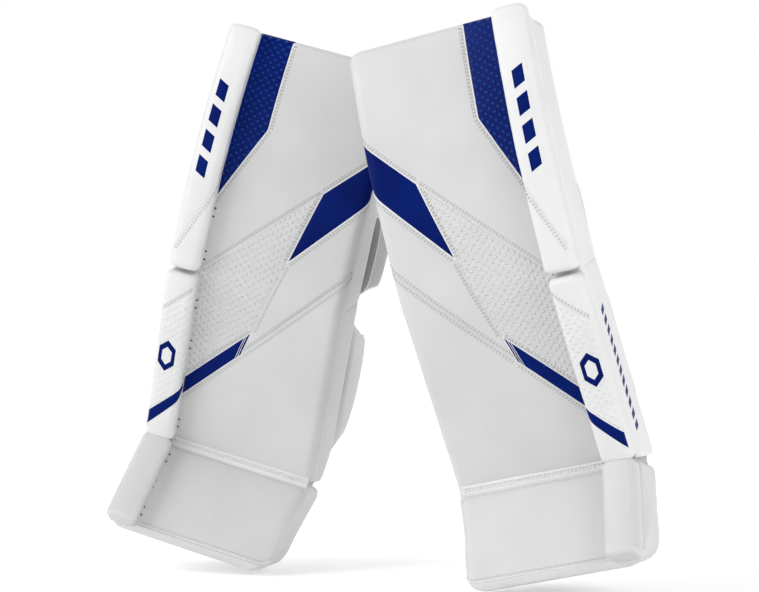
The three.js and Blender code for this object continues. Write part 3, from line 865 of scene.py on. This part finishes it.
def read(mesh, field="co"):
    flat = np.zeros(len(mesh.vertices) * 3)
    mesh.vertices.foreach_get(field, flat)
    return flat.reshape(-1, 3)


def no_further_forward(move, lean):
    """Takes out the part of a move that goes forward, into the pad."""
    back = back_of(lean)
    return move - np.minimum(move @ back, 0)[:, None] * back


def relaxed(points, edges, rounds, strength=0.5):
    """Evens out the points of a mesh, so that its edges come out rounded."""
    count = np.bincount(edges.ravel(), minlength=len(points))[:, None]
    for _ in range(rounds):
        total = np.zeros_like(points)
        np.add.at(total, edges[:, 0], points[edges[:, 1]])
        np.add.at(total, edges[:, 1], points[edges[:, 0]])
        points = points + strength * (total / np.maximum(count, 1) - points)
    return points


VOXEL, SHRINK, LAST_FRAME = 5.0, 1.6, 20
CLOTH = {"quality": 5, "mass": 0.3, "tension_stiffness": 18, "compression_stiffness": 18,
         "shear_stiffness": 6, "bending_stiffness": 0.6, "use_pressure": True, "uniform_pressure_force": 4.0}


def padded_shapes(nodes):
    """Blows up each node as cloth. `nodes` gives the lean of what it rests on and how far points may move."""
    scene, pieces = bpy.context.scene, {}
    for node, (lean, _) in nodes.items():
        mesh = frame["nodes"][f"left_{node}"].data.copy()
        mesh.transform(Matrix.Scale(MM, 4) @ pad_matrix("left").inverted())
        piece = bpy.data.objects.new(f"cloth_{node}", mesh)
        scene.collection.objects.link(piece)
        remesh = piece.modifiers.new("remesh", "REMESH")
        remesh.mode, remesh.voxel_size = "VOXEL", VOXEL * MM
        piece.data = evaluated(piece)
        piece.modifiers.clear()
        mesh = piece.data
        back = back_of(lean)
        draw_in = -SHRINK * MM * read(mesh, "normal")
        draw_in -= np.maximum(draw_in @ back, 0)[:, None] * back
        mesh.vertices.foreach_set("co", (read(mesh) + draw_in).ravel())
        cloth = piece.modifiers.new("cloth", "CLOTH")
        for key, value in CLOTH.items():
            setattr(cloth.settings, key, value)
        cloth.settings.effector_weights.gravity = 0
        cloth.point_cache.frame_start, cloth.point_cache.frame_end = 1, LAST_FRAME
        pieces[node] = piece
    for step in range(1, LAST_FRAME + 1):
        scene.frame_set(step)
    shapes = {}
    for node, piece in pieces.items():
        lean, limit = nodes[node]
        start = read(piece.data)
        move = read(evaluated(piece)) - start
        size = np.linalg.norm(move, axis=1)[:, None]
        move = move * np.minimum(1, limit * MM / np.maximum(size, 1e-9))
        points = start + no_further_forward(move, lean)
        edges = np.array([e.vertices[:] for e in piece.data.edges])
        points = relaxed(points, edges, 3)
        piece.modifiers.clear()
        piece.data.vertices.foreach_set("co", points.ravel())
        piece.modifiers.new("finer", "SUBSURF").levels = 1
        mesh = evaluated(piece)
        shapes[node] = Shape(read(mesh) / MM, [p.vertices[:] for p in mesh.polygons])
        shapes[node].normals = read(mesh, "normal")
        bpy.data.objects.remove(piece)
    scene.frame_set(1)
    return shapes


def leg_coordinates(points, lean, start):
    """(x, s, d) of points near a straight stretch of the face that starts at `start` = (s, y, z)."""
    from_start = points - np.array([0.0, start[1], start[2]])
    return points[:, 0], start[0] + from_start @ up_of(lean), from_start @ back_of(lean)


SHIN_START = (0.0, 0.0, 0.0)
KNEE_START = (SHIN_FACE, *(float(np.interp(SHIN_FACE, FACE[0], line)) for line in FACE[1:3]))


def quilted(shape, lean, start, across=(), along=(), depth=2.6, width=3.6):
    """Sews channels into the back of a padded shape: `across` at heights s, `along` at places x."""
    x, s, _ = leg_coordinates(shape.points, lean, start)
    back = back_of(lean)
    facing = smooth(shape.normals @ back)
    near = np.min([np.abs(s - k) for k in across] + [np.abs(x - k) for k in along], axis=0)
    shape.points = shape.points - (facing * depth * np.exp(-((near / width) ** 2)))[:, None] * back


LET_DOWN = {  # node: where its foot is, the height over which the change fades out, and how far it goes down
    "inner_calf_wing": (38.0, 120.0, 22.0),
    "knee_block": (24.0, 70.0, 15.0),
}


def let_down(node, s):
    foot, run, drop = LET_DOWN.get(node, (0.0, 1.0, 0.0))
    return drop * (1 - smooth((s - foot) / run))


def lowered(node, shape, lean, start):
    """Brings the foot of a padded shape down to where its cover ends, a little below the foam inside."""
    _, s, _ = leg_coordinates(shape.points, lean, start)
    shape.points = shape.points - let_down(node, s - start[0])[:, None] * up_of(lean)


def nearest_on(shape, targets):
    """The points of a shape that are nearest to the targets, and its normals there."""
    tree = BVHTree.FromPolygons([tuple(p) for p in shape.points], shape.faces)
    found = [tree.find_nearest(Vector(t)) for t in targets]
    return np.array([f[0] for f in found]), np.array([f[1] for f in found])


def surface_loop(shape, targets, radius, lift):
    """Piping that runs round a padded shape, along the points of it nearest to the targets."""
    points, normals = nearest_on(shape, targets)
    normals = unit(eased(normals, 2))
    return tube(eased(points, 2) + normals * lift, normals, radius, closed=True)


CRADLE_FOOT = 14 + 60 * math.tan(math.radians(9.5))  # above the knee break


def calf_outline():
    """The edge of a calf wing, as (d, s)."""
    b, end = BEHIND, BEHIND + WING_REACH
    return [(b + 1, 38), (b + 64, 47), (b + 84, 75), (end - 3, 121), (end, 177), (end - 3, 190), (b + 1, 251)]


def cradle_outline(reach, top):
    """The edge of the knee wing or the knee block, as (d, s) with s above the knee break."""
    end, thinner = BEHIND + reach, top * (DEPTH - TOP_DEPTH) / THIGH_FACE
    return [(BEHIND + 1, CRADLE_FOOT), (end - 12, CRADLE_FOOT), (end, CRADLE_FOOT + 14), (end, top - 20),
            (end - 20, top), (BEHIND - thinner + 1, top)]


def edge_targets(node, outline, x, start, wrap=0.0):
    """Even points round the outline, with its corners eased, on the side of the piece that is at x."""
    points = eased(along_line(outline + outline[:1], 4.0)[0][:-1], 5)
    d, s = points[:, 0], points[:, 1] - let_down(node, points[:, 1]) + start
    return on_leg(x - wrap * (d - BEHIND), s, d)[0]


# ---- Straps, buckles and laces ----
def ribbon(path, up, width, thick, steps=4):
    """A flat strap with round edges along a path of points; up is the direction of its width."""
    out = unit(np.cross(unit(np.gradient(path, axis=0)), up))
    half, edge = width / 2 - thick / 2, thick / 2
    turn = np.linspace(-math.pi / 2, math.pi / 2, steps + 1)
    section = [(half + edge * math.cos(a), edge * math.sin(a)) for a in turn]
    section += [(k * half / 3, edge) for k in (2, 1, 0, -1, -2)]
    section += [(-a, -b) for a, b in section]
    rings = np.array([[p + a * up + b * o for a, b in section] for p, o in zip(path, out)])
    return bar(rings)


def bar(rings):
    """A solid through rings of points, with a face over each end."""
    count, sides = rings.shape[:2]
    faces = grid_faces(count, sides, loop_columns=True)
    faces += [tuple(range(sides))[::-1], tuple(range((count - 1) * sides, count * sides))]
    return Shape(rings.reshape(-1, 3), faces)


def strap_line(node):
    """The middle of a CAD strap's two ends: the free end first, then the end that it is sewn on by."""
    points = cad_points(node)
    low, high = points[:, 0].min(), points[:, 0].max()
    return points[points[:, 0] < low + 2].mean(0), points[points[:, 0] > high - 2].mean(0)


def strap(node, lean, bow=2.0, width=37.0):
    """The strap and its hook-and-loop patch."""
    free, sewn = strap_line(node)
    t = np.linspace(0, 1, 40)[:, None]
    up = up_of(lean)
    out = np.cross(sewn - free, up)
    out = out / np.linalg.norm(out) * np.sign(out[1])
    path = free + (sewn - free) * t + out * bow * np.sin(t * math.pi)
    path[0] += (path[1] - path[0]) * 0.2
    patch = path[2:14] + out * 1.9
    return ribbon(path, up, width, 2.4), ribbon(patch, up, width - 5, 1.2)


def rectangle_loop(centre, across, up, half_a, half_b, corner, count=5):
    points = []
    for k, (sa, sb) in enumerate(((1, 1), (-1, 1), (-1, -1), (1, -1))):
        for a in np.linspace(0, math.pi / 2, count) + k * math.pi / 2:
            points.append(centre + across * (sa * (half_a - corner) + corner * math.cos(a))
                          + up * (sb * (half_b - corner) + corner * math.sin(a)))
    return np.array(points)


BUCKLE_RUNGS = ((-4.6, 18.5, 1.9), (4.6, 18.5, 1.9), (12.8, 11.0, 2.4))  # place across, half length, radius


def buckle(node, lean):
    """A ladder buckle: a frame, two bars that the strap doubles back over, and a grip."""
    free, sewn = strap_line(node)
    across, up = unit(sewn - free), up_of(lean)
    out = np.cross(across, up)
    centre = cad_points(f"{node}_buckle").mean(0)
    loop = rectangle_loop(centre, across, up, 12.6, 19.6, 5.0)
    parts = [tube(loop, np.tile(out, (len(loop), 1)), 2.5, sides=10, closed=True)]
    for shift, half, radius in BUCKLE_RUNGS:
        rung = np.array([centre + across * shift + up * h for h in np.linspace(-half, half, 9)])
        parts.append(tube(rung, np.tile(out, (9, 1)), radius, sides=10))
    return Shape.joined(parts)


def laces(low, high, base=on_leg, spacing=68.0):
    """Pairs of cords that hold the roll to the face along its inner side."""
    parts = []
    for middle in np.arange(low + 22, high - 12, spacing):
        for shift in (-6.5, 6.5):
            x = ROLL_IN + np.array([-4.2, -3.4, -2.0, -0.9, -0.4, 0.6])
            d = np.array([1.0, -0.7, -1.3, -2.6, -4.8, -5.6])
            s = middle + shift + np.linspace(-1.0, 1.0, 6)
            point, normal = base(x, s, d, (-0.7, -0.7))
            parts.append(tube(point, normal, 1.3, sides=7))
    return Shape.joined(parts)


BAND_RISE = 2.6


def crease_band(count=70):
    """The strip of leather that joins the shin and the boot across the front of the crease."""
    xs = np.linspace(-HALF + 5, HALF - 5, count)
    profile = [on_leg(0.0, 9.0, 1.5)[0], on_leg(0.0, 7.5, -1.0)[0], on_leg(0.0, 4.5, -BAND_RISE)[0],
               on_leg(0.0, 1.0, -BAND_RISE - 0.7)[0], on_boot(0.0, -1.0, -BAND_RISE - 0.7)[0],
               on_boot(0.0, -4.5, -BAND_RISE)[0], on_boot(0.0, -7.5, -1.0)[0], on_boot(0.0, -9.0, 1.5)[0],
               np.array([0, 6.0, -1.0])]
    width = [0.99, *[1] * 6, 0.99, 0.99]  # its hidden edges are a little narrower
    return bar(np.array([[(x * k, p[1], p[2]) for k, p in zip(width, profile)] for x in xs]))


def crease_surface(x, v):
    """The front of the crease band: v runs across it, from the boot to the shin."""
    x, v = np.asarray(x, float), np.asarray(v, float)
    low = on_boot(x, np.minimum(v, 0), -BAND_RISE - 0.4)[0]
    high = on_leg(x, np.maximum(v, 0), -BAND_RISE - 0.4)[0]
    point = np.where((v < 0)[:, None], low, high)
    return point, np.tile([0.0, -1.0, 0.0], (len(x), 1))


GUSSET_LEVELS = 5
GUSSET_DEPTHS = (2.5, 12, 26, 42, 58, 70)


def ankle_gusset():
    """The soft bridge between the boot and the shin, deep in the relief behind the crease."""
    xs = np.linspace(-HALF + 7, HALF - 7, 30)
    points = []
    for share in np.linspace(0, 1, GUSSET_LEVELS):
        for d in GUSSET_DEPTHS:
            low = np.array([0.0, d, -5.0 - d * SHELF])
            top = on_leg(0.0, 6.5 - SHIN_FALL * d, d)[0]
            spot = low + (top - low) * share
            for x in xs:
                edge = 1 - 0.02 * math.sin(share * math.pi) * (abs(x) > HALF - 12)
                points.append([x * edge, float(heel_tuck(x, 0.0, spot[1])), spot[2]])
    rows, columns = len(GUSSET_DEPTHS), len(xs)
    rim = [(0, c) for c in range(columns - 1)] + [(row, columns - 1) for row in range(rows - 1)]
    rim += [(rows - 1, c) for c in range(columns - 1, 0, -1)] + [(row, 0) for row in range(rows - 1, 0, -1)]
    around = [(level * rows + row) * columns + c for level in range(GUSSET_LEVELS) for row, c in rim]
    sides = grid_faces(GUSSET_LEVELS, len(rim), loop_columns=True)
    faces = [tuple(around[k] for k in face) for face in sides]
    faces += grid_faces(rows, columns, turned=True)
    top_start = (GUSSET_LEVELS - 1) * rows * columns
    faces += [tuple(top_start + k for k in face) for face in grid_faces(rows, columns)]
    return Shape(points, faces)


def settle(leg, nodes):
    """Hides the CAD nodes that the piece is seen in place of."""
    if nodes:
        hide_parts(*[f"{leg}_{n}" for n in nodes])


def ride(piece, leg, body, slot, *nodes):
    """The piece moves with one body."""
    settle(leg, nodes)
    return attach(piece, f"{leg}_{body}")


def bend(piece, leg, slot, *nodes):
    """The piece spans the knee break: its place is baked into its points, and it rides with no body."""
    settle(leg, nodes)
    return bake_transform(piece)


cover = upper_cover()
lining = rear_lining()
face_piping = Shape.joined([piping(upper_surface, line, radius) for line, radius, _ in SEAMS]
                           + [piping(upper_surface, line, 0.4) for line in STRIPE_TRIM]
                           + [piping(upper_surface, EDGE_SEAM, 0.8)])
face_stitches = Shape.joined([stitches(upper_surface, line, side * shift)
                              for line, _, sides in SEAMS for side in sides for shift in (3.2, 5.8)])
THIGH_MARKS = [(SMOOTH_BLUE, slanted(1, s, 17, 25, 4)) for s in (449, 487, 525, 563)]
SHIN_MARKS = [(PAINTED_HIGHLIGHT_PLAIN, hexagon(1, 150, 8, 15)), (SMOOTH_BLUE, hexagon(1, 150, 14, 26))]
thigh_roll, thigh_roll_skin = roll(SHIN_FACE + 3, TOP - 1, THIGH_ROLL_SEAMS, [], THIGH_MARKS)
shin_roll, shin_roll_skin = roll(8, SHIN_FACE - 3, SHIN_ROLL_SEAMS,
                                 [(SMOOTH_BLUE, ROLL_STRIPE), (PAINTED_HIGHLIGHT_DOTS, ROLL_BAND)], SHIN_MARKS)
boot_roll, _ = roll(TOE_EDGE - 4, -8, [], [], base=on_boot, plain=PLAIN_WHITE)
roll_rows = {
    part: Shape.joined([stitches(skin, line, side * shift) for shift in (3, 5.4)])
    for part, skin, line, side in (("thigh", thigh_roll_skin, THIGH_ROLL_SEAMS[0], -1),
                                   ("shin", shin_roll_skin, SHIN_ROLL_SEAMS[0], 1))
}
roll_piping = {
    part: Shape.joined([piping(skin, line, size) for line, size in zip(seams, sizes)])
    for part, skin, seams, sizes in (("thigh", thigh_roll_skin, THIGH_ROLL_SEAMS, (0.5,)),
                                     ("shin", shin_roll_skin, SHIN_ROLL_SEAMS, (0.45, 0.85, 0.85)))
}
boot = boot_cover()

RESTS = {  # the lean of what each padded piece rests on, and how far its points may move, in millimetres
    "shin_liner": (SHIN_LEAN, 7), "inner_calf_wing": (SHIN_LEAN, 6), "outer_calf_wing": (SHIN_LEAN, 6),
    "thigh_rear_panel": (THIGH_LEAN, 6), "knee_block": (THIGH_LEAN, 8), "knee_cushion": (THIGH_LEAN, 8),
    "knee_wing": (THIGH_LEAN, 6),
    "boot_liner": (0.0, 6), "inner_boot_tab": (0.0, 3), "outer_boot_tab": (0.0, 3),
}
soft = padded_shapes(RESTS)
quilted(soft["shin_liner"], SHIN_LEAN, SHIN_START, across=(54, 96, 138, 180, 222), along=(-42, 42))
quilted(soft["knee_cushion"], THIGH_LEAN, KNEE_START, across=(SHIN_FACE + 60, SHIN_FACE + 102), along=(0,))
quilted(soft["thigh_rear_panel"], THIGH_LEAN, KNEE_START,
        across=(SHIN_FACE + 214, SHIN_FACE + 260, SHIN_FACE + 306), along=(-56, 0, 56), depth=2.0)
lowered("inner_calf_wing", soft["inner_calf_wing"], SHIN_LEAN, SHIN_START)
lowered("knee_block", soft["knee_block"], THIGH_LEAN, KNEE_START)
INNER_WING = (-HALF + 2, -HALF + 26)  # x of its two sides
OUTER_WING = (HALF - 26, HALF - 2)
KNEE_BLOCK = (-HALF + 2, -HALF + 56)
WING_EDGES = {  # node: its edge, x of its two sides, where s starts, and how far it wraps inwards
    "inner_calf_wing": (calf_outline(), INNER_WING, 0.0, 0.0),
    "outer_calf_wing": (calf_outline(), OUTER_WING, 0.0, WING_WRAP),
    "knee_wing": (cradle_outline(KNEE_REACH, 140), OUTER_WING, SHIN_FACE, WING_WRAP),
    "knee_block": (cradle_outline(KNEE_BLOCK_REACH, 150), KNEE_BLOCK, SHIN_FACE, 0.0),
}
wing_piping = {}
for node, (outline, sides, start, wrap) in WING_EDGES.items():
    loops = [edge_targets(node, outline, x, start, wrap) for x in sides]
    wing_piping[node] = Shape.joined([surface_loop(soft[node], loop, 1.3, 0.3) for loop in loops])
KNEE_SHADE_STRIP = 30.0  # how far behind the pad the painted shade strip along the knee block reaches: dark fabric for the shade between the pad and the block


def shade_strip_depth(s):
    return BEHIND + KNEE_SHADE_STRIP - (DEPTH - TOP_DEPTH) * (s - SHIN_FACE) / THIGH_FACE


def knee_shade_strip_piping():
    """The white piping that parts the painted shade strip, dark fabric for the shade next to the pad, from the
    rippled fabric, on the knee block's inner side.
    """
    s = np.linspace(SHIN_FACE + 14, SHIN_FACE + 146, 34)
    points, normals = nearest_on(soft["knee_block"], on_leg(np.full_like(s, -HALF), s, shade_strip_depth(s))[0])
    return tube(points + 0.3 * normals, normals, 1.2)


def shade_strip_looks(shape):
    """Material 1, dark fabric painted as shade, for the faces of the knee block that lie in the shade strip
    next to the pad.
    """
    middles = np.array([shape.points[list(f)].mean(0) for f in shape.faces])
    _, s, d = leg_coordinates(middles, THIGH_LEAN, KNEE_START)
    return [int(k) for k in d < shade_strip_depth(s)]


wing_piping["knee_block"] = Shape.joined([wing_piping["knee_block"], knee_shade_strip_piping()])
soft["knee_block"].looks = shade_strip_looks(soft["knee_block"])
SOFT_PIECES = {  # node: name, body, slot, material
    "shin_liner": ("calf_liner", "shin", "liner_fabric", "liner"),
    "inner_calf_wing": ("inner_calf_wing_pad", "shin", "white_leather", "white_painted_shade"),
    "outer_calf_wing": ("outer_calf_wing_pad", "calf_wing", "white_leather", "white_painted_shade"),
    "thigh_rear_panel": ("rear_panel_pad", "thigh", "liner_fabric", "liner"),
    "knee_block": ("knee_block_pad", "thigh", "knee_fabric", "knee"),
    "knee_cushion": ("knee_cushion_pad", "thigh", "liner_fabric", "liner"),
    "knee_wing": ("knee_wing_pad", "knee_wing", "white_leather", "white_painted_shade"),
    "boot_liner": ("boot_liner_pad", "boot", "liner_fabric", "liner"),
    "inner_boot_tab": ("inner_tab_pad", "boot", "white_leather", "white_painted_shade"),
    "outer_boot_tab": ("outer_tab_pad", "boot", "white_leather", "white_painted_shade"),
}
STRAPS = {  # node: lean, slot, material
    "upper_calf_strap": (SHIN_LEAN, "webbing", "strap"),
    "lower_calf_strap": (SHIN_LEAN, "webbing", "strap"),
    "knee_strap": (THIGH_LEAN, "webbing", "strap"),
    "boot_strap": (0.0, "black_webbing", "black_strap"),
}
strap_shapes = {node: strap(node, lean) for node, (lean, _, _) in STRAPS.items()}
buckle_shapes = {node: buckle(node, lean) for node, (lean, _, _) in STRAPS.items()}
shin_laces, thigh_laces = laces(10, SHIN_FACE - 5), laces(SHIN_FACE + 5, TOP - 30)
boot_laces = laces(TOE_EDGE + 4, -8, base=on_boot, spacing=48.0)
gusset = ankle_gusset()
crease = crease_band()
crease_rows = Shape.joined([stitches(crease_surface, [(-HALF + 8, v), (HALF - 8, v)], 0, 3.6, 2.2, 0.8)
                            for v in (3.4, -3.4)])
boot_piping = Shape.joined([piping(boot_surface, line, size, lift)
                            for line, size, lift in zip(BOOT_SEAMS, (1.3, 0.3), (0.7, 0.45))])
toe_rows = stitches(boot_surface, [(-HALF + 4, TOE_SEAM - 4.5), (HALF - 52, TOE_SEAM - 4.5)], 0)
ANKLE_PIECES = {  # name: shape, look, slot, smooth angle, and y and z of the place it bends about
    "ankle_gusset": (gusset, "rear", "liner_fabric", 50, (35, -8)),
    "crease_band": (crease, "welt_painted_highlight", "white_leather", 50, (0, 0)),
    "crease_stitching": (crease_rows, "cord", "white_leather", 180, (0, 0)),
}


def trim(name, leg, shape, look):
    """A fine run of piping or stitches, shaded smooth all round."""
    return make(name, leg, shape, [LOOK[look]], 180)


for leg in LEGS:
    for node, (name, body, slot, look) in SOFT_PIECES.items():
        pad = ride(make(name, leg, soft[node], [LOOK[look], LOOK["shade_strip"]], 180), leg, body, slot, node)
        if node in wing_piping:
            ride(trim(f"{name}_piping", leg, wing_piping[node], "piping"), leg, body, "white_leather")
    for node, (_, slot, look) in STRAPS.items():
        webbing_shape, patch = strap_shapes[node]
        ride(make(f"{node}_webbing", leg, webbing_shape, [LOOK[look]]), leg, node, slot, node)
        ride(make(f"{node}_patch", leg, patch, [LOOK["black_strap"]]), leg, node, "black_webbing")
        ride(make(f"{node}_ladder", leg, buckle_shapes[node], [LOOK["black"]]), leg, node, "black_plastic",
             f"{node}_buckle")
    ride(make("shin_roll_laces", leg, shin_laces, [LOOK["lace"]]), leg, "shin", "lace", "shin_roll_lace")
    ride(make("boot_roll_laces", leg, boot_laces, [LOOK["lace"]]), leg, "boot", "lace")
    ride(make("thigh_roll_laces", leg, thigh_laces, [LOOK["lace"]]), leg, "thigh", "lace", "thigh_roll_lace")
    bridge = frame["nodes"][f"{leg}_toe_bridge"]
    bridge.data.materials.clear()
    bridge.data.materials.append(LOOK["black"])
    for name, (shape, look, slot, smooth_angle, (y, z)) in ANKLE_PIECES.items():
        joined = make(name, leg, shape, [LOOK[look]], smooth_angle)
        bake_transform(joined)
    ride(trim("boot_piping", leg, boot_piping, "piping"), leg, "boot", "white_leather")
    ride(trim("toe_stitching", leg, toe_rows, "thread"), leg, "boot", "white_leather")
    for part in ("thigh", "shin"):
        ride(trim(f"{part}_roll_piping", leg, roll_piping[part], "piping"), leg, part, "white_leather")
        ride(trim(f"{part}_roll_stitching", leg, roll_rows[part], "thread"), leg, part, "white_leather")
    bend(make("cover", leg, cover, PANELS), leg, "white_leather", "shin_cover", "thigh_cover")
    bend(make("rear_lining", leg, lining, [LOOK["rear"]]), leg, "liner_fabric", "shin_core", "thigh_core")
    bend(trim("face_piping", leg, face_piping, "piping"), leg, "white_leather")
    bend(trim("face_stitching", leg, face_stitches, "thread"), leg, "white_leather")
    for name, shape, body, nodes in (("thigh_roll_cover", thigh_roll, "thigh", ("thigh_roll",)),
                                     ("shin_roll_cover", shin_roll, "shin", ("shin_roll",)),
                                     ("boot_roll_cover", boot_roll, "boot", ("boot_roll",)),
                                     ("boot_shell", boot, "boot", ("boot_cover", "boot_core"))):
        ride(make(name, leg, shape, PANELS), leg, body, "white_leather", *nodes)


# ---- Stage ----
AIM = Vector((0.016, -0.063, 0.425))
AZIMUTH, DISTANCE, LENS = math.radians(11.36), 3.362, 108.5
FLOOR = 60.0  # half of its side, in metres
SUNS = {  # name: the way it shines, strength, and softness in degrees
    "left_key": ((0.82, 0.42, -0.4), 2.3, 50),
    "right_key": ((-0.8, 0.44, -0.4), 1.9, 50),
    "rim": ((0.3, -0.7, -0.65), 1.1, 60),
}


def stage():
    scene = bpy.context.scene
    floor_mesh = bpy.data.meshes.new("floor")
    corners = [(FLOOR * a, FLOOR * b, 0) for a, b in ((-1, -1), (1, -1), (1, 1), (-1, 1))]
    floor_mesh.from_pydata(corners, [], [(0, 1, 2, 3)])
    floor = bpy.data.objects.new("floor", floor_mesh)
    n = Nodes("pale_floor", 0.9, Base_Color=(0.82, 0.82, 0.82, 1), Emission_Color=(1, 1, 1, 1),
              Emission_Strength=0.28)
    floor_mesh.materials.append(n.material)
    scene.collection.objects.link(floor)

    camera = bpy.data.objects.new("camera", bpy.data.cameras.new("camera"))
    camera.data.lens, camera.data.sensor_width = LENS, 36.0
    camera.location = AIM + Vector((math.sin(AZIMUTH), -math.cos(AZIMUTH), -0.0018)) * DISTANCE
    camera.rotation_euler = (AIM - camera.location).to_track_quat("-Z", "Y").to_euler()
    scene.collection.objects.link(camera)
    scene.camera = camera

    world = bpy.data.worlds.new("world")
    world.use_nodes = True
    tree = world.node_tree
    sky, place = tree.nodes["Background"], tree.nodes.new("ShaderNodeTexCoord")
    split, glow = tree.nodes.new("ShaderNodeSeparateXYZ"), tree.nodes.new("ShaderNodeMapRange")
    sky.inputs["Color"].default_value = (1, 1, 1, 1)
    tree.links.new(place.outputs["Generated"], split.inputs[0])
    tree.links.new(split.outputs["Z"], glow.inputs["Value"])
    for key, value in (("From Min", 0.14), ("From Max", 0.42), ("To Min", 1.0), ("To Max", 0.28)):
        glow.inputs[key].default_value = value
    tree.links.new(glow.outputs["Result"], sky.inputs["Strength"])
    scene.world = world
    scene.view_settings.view_transform = "Standard"
    for name, (way, strength, softness) in SUNS.items():
        lamp = bpy.data.lights.new(name, "SUN")
        lamp.energy, lamp.angle = strength, math.radians(softness)
        light = bpy.data.objects.new(name, lamp)
        light.rotation_euler = Vector(way).to_track_quat("-Z", "Y").to_euler()
        scene.collection.objects.link(light)


stage()
bpy.context.view_layer.update()
